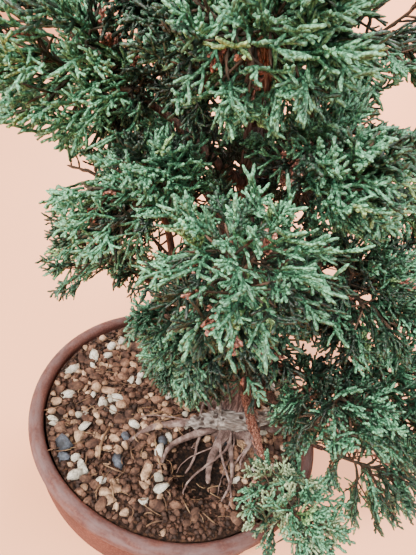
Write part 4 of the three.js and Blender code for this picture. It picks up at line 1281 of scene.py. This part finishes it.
def growMass(name, space, bough, rng, shape):
    # twigs of one mass, as cords, and the places of its sprays: where, which way, facing, tuft and fill
    start = bough["tip"] + bough["heading"] * massShape["stemGap"]
    length = roomAlong(space, start[None], bough["heading"][None])[0] * massShape["stemShare"]
    end = start + bough["heading"] * length
    stem = bezier([start, (start + end) / 2 - upward * massShape["stemSag"] * length, end], 30)
    count, fewer = round(shape["primaries"] * fullness.get(name, 1)), shape["secondaries"]
    share = (np.arange(count) + 0.5) / count
    along = unit(pointsAt(stem, share + 0.03) - pointsAt(stem, share - 0.03))
    lean = np.arccos(shape["leanBack"] + (shape["leanForward"] - shape["leanBack"]) * share)
    out = branchedOff(along, rng.uniform(0, fullTurn) + np.arange(count) * goldenAngle, lean)
    root = pointsAt(stem, shape["primaryFrom"] + (shape["primaryTo"] - shape["primaryFrom"]) * share)
    uneven, led = rng.uniform(*shape["uneven"], count), np.full(count, np.inf)
    for place in leafPlaces.get(name, []):
        spot = spotAt(*place, cameraView)
        away = np.linalg.norm(root - spot, axis=1)
        nearest = np.where(led < np.inf, np.inf, away).argmin()
        out[nearest], uneven[nearest], led[nearest] = unit(spot - root[nearest]), 1, away[nearest]
    reach = np.minimum(roomAlong(space, root, out) * shape["primaryShare"] * uneven, led)
    tip = root + out * reach[:, None]
    bow = across(out) * (rng.normal(scale=shape["primaryBend"], size=count) * reach)[:, None]
    stemBow = stem[len(stem) // 2] - (stem[0] + stem[-1]) / 2
    stemCord = (stem[:1], stem[-1:], np.array([massShape["stemRadius"]]), stemBow[None])

    slots = (np.arange(fewer) + rng.uniform(*shape["slot"], (count, fewer))) / fewer
    at = shape["secondaryFrom"] + shape["secondaryRun"] * slots
    secondRoot = alongCords(root[:, None], tip[:, None], bow[:, None], at)
    turns = rng.uniform(0, fullTurn, (count, 1)) + np.arange(fewer)[None] * goldenAngle
    forward = np.repeat(out[:, None], fewer, axis=1)
    secondOut = branchedOff(forward, turns, np.radians(shape["secondaryAngle"] - shape["anglesClose"] * at))
    secondRoot, secondOut = secondRoot.reshape(-1, 3), secondOut.reshape(-1, 3)
    room = roomAlong(space, secondRoot, secondOut) * shape["secondaryShare"]
    reach = np.minimum(room, shape["secondaryLongest"]) * rng.uniform(*shape["secondaryUneven"], len(room))
    secondTip = secondRoot + secondOut * reach[:, None]
    bend = rng.normal(scale=shape["secondaryBend"], size=len(reach)) * reach
    secondBow = across(secondOut) * bend[:, None]

    inMiddle = rng.random(len(secondRoot)) < shape["midSprays"]
    middle = (secondRoot + secondTip)[inMiddle] / 2 + secondBow[inMiddle]
    middleOut = branchedOff(secondOut[inMiddle], rng.uniform(0, fullTurn, len(middle)),
                            rng.uniform(*shape["midAngle"], len(middle)))
    stemAt = np.linspace(shape["stemFrom"], 1, shape["stemSprays"])
    stemAlong = unit(pointsAt(stem, stemAt) - pointsAt(stem, stemAt - 0.1))
    stemTurns = rng.uniform(0, fullTurn, len(stemAt))
    stemOut = branchedOff(stemAlong, stemTurns, np.linspace(*shape["stemAngles"], len(stemAt)))

    kept = isFoliage(tip) | (rng.random(count) < shape["bareTwigs"])
    secondKept = np.repeat(kept, fewer) & isFoliage(secondTip)
    twigs = [stemCord,
             (root[kept], tip[kept], np.full(kept.sum(), shape["primaryRadius"]), bow[kept]),
             (secondRoot[secondKept], secondTip[secondKept],
              np.full(secondKept.sum(), shape["secondaryRadius"]), secondBow[secondKept])]
    carries = np.concatenate([isFoliage(tip), secondKept, secondKept[inMiddle], np.full(len(stemAt), True)])
    places = np.vstack([tip, secondTip, middle, pointsAt(stem, stemAt)])
    outs = np.vstack([out, secondOut, middleOut, stemOut])
    outward = unit(places - space["centre"] * np.array([shape["axisPull"], shape["axisPull"], 1]))
    leaning = np.array(leanings.get(name, leanings["rest"]))
    scatter = rng.normal(scale=shape["scatter"], size=outs.shape)
    outs = unit(outs + outward * shape["outward"] + leaning + scatter)
    facing = unit(outward * shape["faceOut"] + upward * shape["faceUp"]
                  + rng.normal(scale=shape["faceScatter"], size=outs.shape))
    tuft = np.repeat(np.arange(count), fewer)  # the sprays of one twig make a tuft
    tufts = np.concatenate([np.arange(count), tuft, tuft[inMiddle], np.full(len(stemAt), count)])
    fills = rng.uniform(*shape["tuftFill"], count + 1)[tufts]
    return [twigs] + [part[carries] for part in (places, outs, facing, tufts, fills)]


def limbPoints():
    # points down the axis of the trunk and each bough, each with the radius there
    axes = [np.column_stack([trunkPath, trunkRadii])]
    axes += [np.column_stack([b["path"], b["radii"]]) for b in boughs.values() if "path" in b]
    return np.vstack(axes)


leafRoom = {"potRadius": 93, "potTop": 70, "floor": 4}


def isClear(points, limbs, clearance):
    # true where points are off every limb, out of the pot and above the table
    apart = np.linalg.norm(points[:, None] - limbs[None, :, :3], axis=-1) - limbs[None, :, 3]
    besidePot = np.hypot(points[:, 0], points[:, 1]) > leafRoom["potRadius"]
    offPot = besidePot | (points[:, 2] > leafRoom["potTop"])
    return (apart.min(1) > clearance) & offPot & (points[:, 2] > leafRoom["floor"])


def isWithin(points, circles):
    # true where points are seen in one of the circles in the photograph
    seen = seenAt(points, cameraView)[:, None, :2]
    circles = np.array(list(circles.values()), float)
    return (np.linalg.norm(seen - circles[None, :, :2], axis=-1) < circles[None, :, 2]).any(1)


def isFoliage(points):
    # false where the photograph shows an opening, or in front of what it shows bare
    seen = seenAt(points, cameraView)
    gaps = np.array([gap if len(gap) == 4 else (*gap, np.inf) for gap in skyGaps.values()], float)
    aside = np.linalg.norm(seen[:, None, :2] - gaps[None, :, :2], axis=-1) > gaps[None, :, 2]
    return (aside | (seen[:, None, 2] > gaps[None, :, 3])).all(1)


def growSprays(space, places, outs, facing, fills, kinds, stout, rng, limbs, shape):
    # cords of every spray in one mass: (start, end, radius, bow, youth, spray) for each segment count
    def roomFor(starts, directions):
        return roomAlong(space, starts.reshape(-1, 3), directions.reshape(-1, 3)).reshape(starts.shape[:-1])

    def mayEndAt(ends):
        flat = ends.reshape(-1, 3)
        return (isClear(flat, limbs, shape["clearance"]) & isFoliage(flat)).reshape(ends.shape[:-1])

    room = roomFor(places, outs) * fills * rng.uniform(*shape["fill"], len(places))
    length = np.minimum(room, shape["longest"] * rng.uniform(*shape["unevenLength"], len(places)))
    middles = places + outs * length[:, None] * 0.5
    keep = (length > shape["shortest"]) & isClear(middles, limbs, shape["clearance"])
    for share in shape["clearAt"]:
        keep &= isFoliage(places + outs * length[:, None] * share)
    length = np.where(kinds == "dead_scale", length * shape["deadShare"], length)
    places, outs, facing, length, kinds = places[keep], outs[keep], facing[keep], length[keep], kinds[keep]
    count, many, most = len(places), shape["shoots"], shape["offshoots"]
    sprays = np.arange(count)
    sideways = unit(np.cross(facing, outs))
    normal = np.cross(outs, sideways)
    lift, liftScatter, asideScatter = shape["axisBow"]
    lifted = normal * rng.normal(lift, liftScatter, (count, 1))
    axisBow = lifted + sideways * rng.normal(0, asideScatter, (count, 1))
    axisBow = axisBow * (length * shape["curl"])[:, None]
    axisEnd = places + outs * length[:, None]

    at = np.linspace(shape["shootsFrom"], shape["shootsTo"], many)[None]
    at = at + rng.uniform(-shape["shift"], shape["shift"], (count, many))
    hand = np.where(np.arange(many) % 2, 1.0, -1.0)[None] * np.ones((count, 1))  # left and right by turns
    degrees = shape["angle"] + rng.uniform(-shape["angleScatter"], shape["angleScatter"], hand.shape)
    angle = np.radians(degrees) * (shape["wideAtFoot"] - shape["closeToTip"] * at)
    outOfFlat = normal[:, None] * rng.normal(scale=shape["outOfFlat"], size=hand.shape)[..., None]
    shootOut = unit(outs[:, None] * np.cos(angle)[..., None]
                    + sideways[:, None] * (hand * np.sin(angle))[..., None] + outOfFlat)
    shootRoot = alongCords(places[:, None], axisEnd[:, None], axisBow[:, None], at)
    wanted = length[:, None] * (shape["shootShare"] + (shape["tipShare"] - shape["shootShare"]) * at)
    wanted = wanted * rng.uniform(*shape["unevenShoots"], hand.shape)
    shootLength = np.minimum(wanted, roomFor(shootRoot, shootOut) - shape["wallGap"])
    bowing = (shootLength * shape["bend"])[..., None]
    shootBow = (sideways[:, None] * hand[..., None] - shootOut * shape["bendBack"]) * bowing
    shootEnd = shootRoot + shootOut * shootLength[..., None]
    good = (shootLength > shape["shortestShoot"]) & mayEndAt(shootEnd)

    pick = np.arange(most) % many  # the lower, longer shoots fork again
    pickAt = rng.uniform(*shape["forkFrom"], (count, most))
    forkRoot = alongCords(shootRoot[:, pick], shootEnd[:, pick], shootBow[:, pick], pickAt)
    forkHand = np.where(rng.random((count, most)) < 0.5, 1.0, -1.0)
    forkAngle = rng.uniform(*shape["forkAngle"], forkHand.shape)
    outOfFlat = normal[:, None] * rng.normal(scale=shape["forkOutOfFlat"], size=forkHand.shape)[..., None]
    forkSide = unit(np.cross(normal[:, None], shootOut[:, pick]) * forkHand[..., None] + outOfFlat)
    forkOut = unit(shootOut[:, pick] * np.cos(forkAngle)[..., None] + forkSide * np.sin(forkAngle)[..., None])
    forkLength = shootLength[:, pick] * rng.uniform(*shape["forkShare"], forkHand.shape)
    forkLength = np.minimum(forkLength, roomFor(forkRoot, forkOut) - shape["wallGap"])
    forkEnd = forkRoot + forkOut * forkLength[..., None]
    forks = good[:, pick] & (forkLength > shape["shortestFork"]) & mayEndAt(forkEnd)

    thick = shape["radius"] * stout * rng.uniform(*shape["unevenRadius"], count)
    onShoot, onFork = [np.repeat(sprays[:, None], number, 1) for number in (many, most)]
    cords = {
        8: (places, axisEnd, thick, axisBow, np.zeros(count), sprays),
        4: (shootRoot[good], shootEnd[good], thick[onShoot[good]] * shape["shootRadius"], shootBow[good],
            at[good] * shape["youth"], onShoot[good]),
        3: (forkRoot[forks], forkEnd[forks], thick[onFork[forks]] * shape["forkRadius"], forkOut[forks] * 0,
            at[:, pick][forks] * shape["youth"] + shape["forkYouth"], onFork[forks]),
    }
    return cords, kinds


foliageKinds = {
    # base colour, colour of the shoots' tips, weight on the crown's outside, weight inside
    "sea_green": ("#437E5F", "#6CAC84", 0.42, 0.1),
    "blue_green": ("#35684E", "#5C9572", 0.34, 0.24),
    "deep_green": ("#10281B", "#274D37", 0.16, 0.5),
    "lime_tip": ("#517B4C", "#8CB276", 0.1, 0.02),
    "dead_scale": ("#74443A", "#B57A6A", 0.06, 0.18),
    # faded shoots low in front, and the darkest ones, a painted shade, dealt out by place
    "pale_green": ("#5C7454", "#9CB28A", 0, 0),
    "shade_green": ("#0A1811", "#1A3426", 0, 0),
}
dealing = {
    # where a spray is judged, ahead of its foot, and how far out or high up the crown's outside begins
    "ahead": 12, "crownRadius": 90, "topFrom": 200, "topHeight": 150, "shell": (0.25, 0.75), "alike": 0.6,
    # chances for the painted shade and the painted light that are dealt by place
    "deepInShade": 0.7, "shaded": 0.85, "lightened": 0.8,
    "faded": 0.3, "fadedMasses": ("low_front", "low_far_right"),
    "shadeKinds": {"shade_green": 0.62, "deep_green": 0.22, "dead_scale": 0.16},
    "litKinds": {"sea_green": 0.6, "blue_green": 0.4},
}


def chosen(rng, shares, count):
    return rng.choice(list(shares), count, p=list(shares.values()))


def dealKinds(name, spots, tufts, rng):
    # a kind for each spray: fresh ones on the crown's outside, deep green and dead ones within, the deep
    # green partly older inner growth and partly painted shade, and most of a tuft alike
    def drawn(share):
        return rng.random(len(spots)) < share

    axis = np.column_stack([np.interp(spots[:, 2], trunkPath[:, 2], trunkPath[:, k]) for k in (0, 1)])
    out = np.linalg.norm(spots[:, :2] - axis, axis=1) / dealing["crownRadius"]
    high = np.maximum(spots[:, 2] - dealing["topFrom"], 0) / dealing["topHeight"]
    # deep within the crown the darker greens are dealt more often: partly older inner growth, partly painted
    # shade
    shell = np.interp(out + high, dealing["shell"], [0, 1])
    mixed = {kind: row[2:] for kind, row in foliageKinds.items() if row[2]}
    weights = np.array(list(mixed.values()))
    chances = weights[:, 0] * shell[:, None] + weights[:, 1] * (1 - shell[:, None])
    ranks = np.cumsum(chances / chances.sum(1, keepdims=True), axis=1)
    common = rng.random(tufts.max() + 1)[tufts] * ranks[:, 2]  # a tuft shares one of the three greens
    draws = np.where(drawn(dealing["alike"]), common, rng.random(len(spots)))
    picked = np.minimum((draws[:, None] > ranks).sum(1), len(mixed) - 1)
    kinds = np.array(list(mixed))[picked]
    # tufts of a mass in the shade of the rest are dealt darker greens: a painted shade
    shaded = (rng.random(tufts.max() + 1)[tufts] > sunlit.get(name, 1)) & (kinds != "dead_scale")
    kinds = np.where(shaded, np.where(drawn(dealing["deepInShade"]), "deep_green", "blue_green"), kinds)
    # in the places of shade, sprays are dealt the darkest greens, a painted shade, with real dead tips among
    # them
    dark = isWithin(spots, shadePlaces) & drawn(dealing["shaded"])
    kinds = np.where(dark, chosen(rng, dealing["shadeKinds"], len(spots)), kinds)
    # in the places of light, deep green sprays turn to lighter greens: a painted light
    inLight = isWithin(spots, litPlaces) & (kinds == "deep_green") & drawn(dealing["lightened"])
    kinds = np.where(inLight, chosen(rng, dealing["litKinds"], len(spots)), kinds)
    if name in dealing["fadedMasses"]:
        kinds = np.where(drawn(dealing["faded"]), "pale_green", kinds)
    return kinds


def scaleLeafMaterial(name, base, tip):
    # juniper cords: overlapping waxy scale leaves a millimetre or so long, so each cord is beaded with a
    # painted highlight on each scale and painted shade between them, half glossy, and paler where it is young
    material, tree, shader, place = newMaterial(name, 0.5)
    youth = addNode(tree, "Attribute", attribute_name="youth").outputs["Fac"]
    young = addNode(tree, "Mix", {"Factor": youth, "A": linear(base), "B": linear(tip)}, data_type="RGBA")
    scales = addNode(tree, "TexVoronoi", {"Vector": place, "Scale": 1 / (1.0 * mm)})  # a scale leaf's length
    # each scale is painted lighter in its middle and darker at its edges: a painted highlight and painted
    # shade, also used as its bump
    edge = addNode(tree, "MapRange", {"Value": scales.outputs["Distance"], "From Min": 0.18, "From Max": 0.68,
                                      "To Min": 1.6, "To Max": 0.35})
    patches = addNode(tree, "TexNoise", {"Vector": place, "Scale": 1 / (14 * mm), "Detail": 2.0})
    cloud = addNode(tree, "MapRange", {"Value": patches.outputs["Fac"], "From Min": 0.3, "From Max": 0.7,
                                       "To Min": 0.8, "To Max": 1.2})
    shade = addNode(tree, "Math", {0: edge.outputs["Result"], 1: cloud.outputs["Result"]},
                    operation="MULTIPLY")
    colour = addNode(tree, "VectorMath", {0: young.outputs["Result"], "Scale": shade.outputs["Value"]},
                     operation="SCALE")
    dress(tree, shader, colour.outputs["Vector"], edge.outputs["Result"], 0.3, 0.6)
    return material


def finishFoliage(name, parts, material, masses):
    piece = meshPiece(name, joinMeshes([part[:2] for part in parts]), material)
    youth = piece.data.attributes.new("youth", "FLOAT", "POINT")
    youth.data.foreach_set("value", np.concatenate([part[2] for part in parts]).astype(np.float32))
    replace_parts(piece, *["foliage_" + mass for mass in masses])


def buildFoliage(enough=150000):
    # sprays of one kind are joined until a piece has triangles enough
    limbs, spaces = limbPoints(), makeSpaces()
    materials = {kind: scaleLeafMaterial("juniper_" + kind, *row[:2]) for kind, row in foliageKinds.items()}
    gathered, twigParts = {kind: [] for kind in materials}, []
    for i, name in enumerate(spaces):
        rng = np.random.default_rng(twigShape["seed"] + i)
        twigs, places, outs, facing, tufts, fills = growMass(name, spaces[name], boughs[name], rng, twigShape)
        twigParts += [cordMesh(*twig, twigShape["segments"])[:2] for twig in twigs]
        kinds = dealKinds(name, places + outs * dealing["ahead"], tufts, rng)
        cords, kinds = growSprays(spaces[name], places, outs, facing, fills, kinds,
                                  stoutness.get(name, 1), rng, limbs, sprayShape)
        for kind in materials:
            parts = []
            for segments, (*cord, youth, spray) in cords.items():
                mine = kinds[spray] == kind
                if mine.any():
                    parts.append(cordMesh(*[values[mine] for values in cord], segments, youth=youth[mine]))
            if parts:
                gathered[kind].append((name, parts))
    total = 0
    for kind, masses in gathered.items():
        piece, names, size, number = [], [], 0, 1
        for name, parts in masses:
            piece += parts
            names.append(name)
            size += sum(len(faces) for _, faces, _ in parts)
            if size > enough or name == masses[-1][0]:
                finishFoliage(f"foliage_{kind}_{number}", piece, materials[kind], names)
                total += size
                piece, names, size, number = [], [], 0, number + 1
    material, tree, shader, place = newMaterial("green_juniper_twig", 0.85)  # thin bark, olive to red brown
    colour, _ = mottled(tree, place, 9, ["#22261A", "#3A3024", "#5A4234"])
    dress(tree, shader, colour)
    twigPiece = meshPiece("foliage_twigs", joinMeshes(twigParts), material)
    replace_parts(twigPiece, *["foliage_" + entry[0] for entry in crownPlan])
    print("foliage", total, "triangles, twigs", len(twigPiece.data.polygons))


buildFoliage()
print("foliage grown")
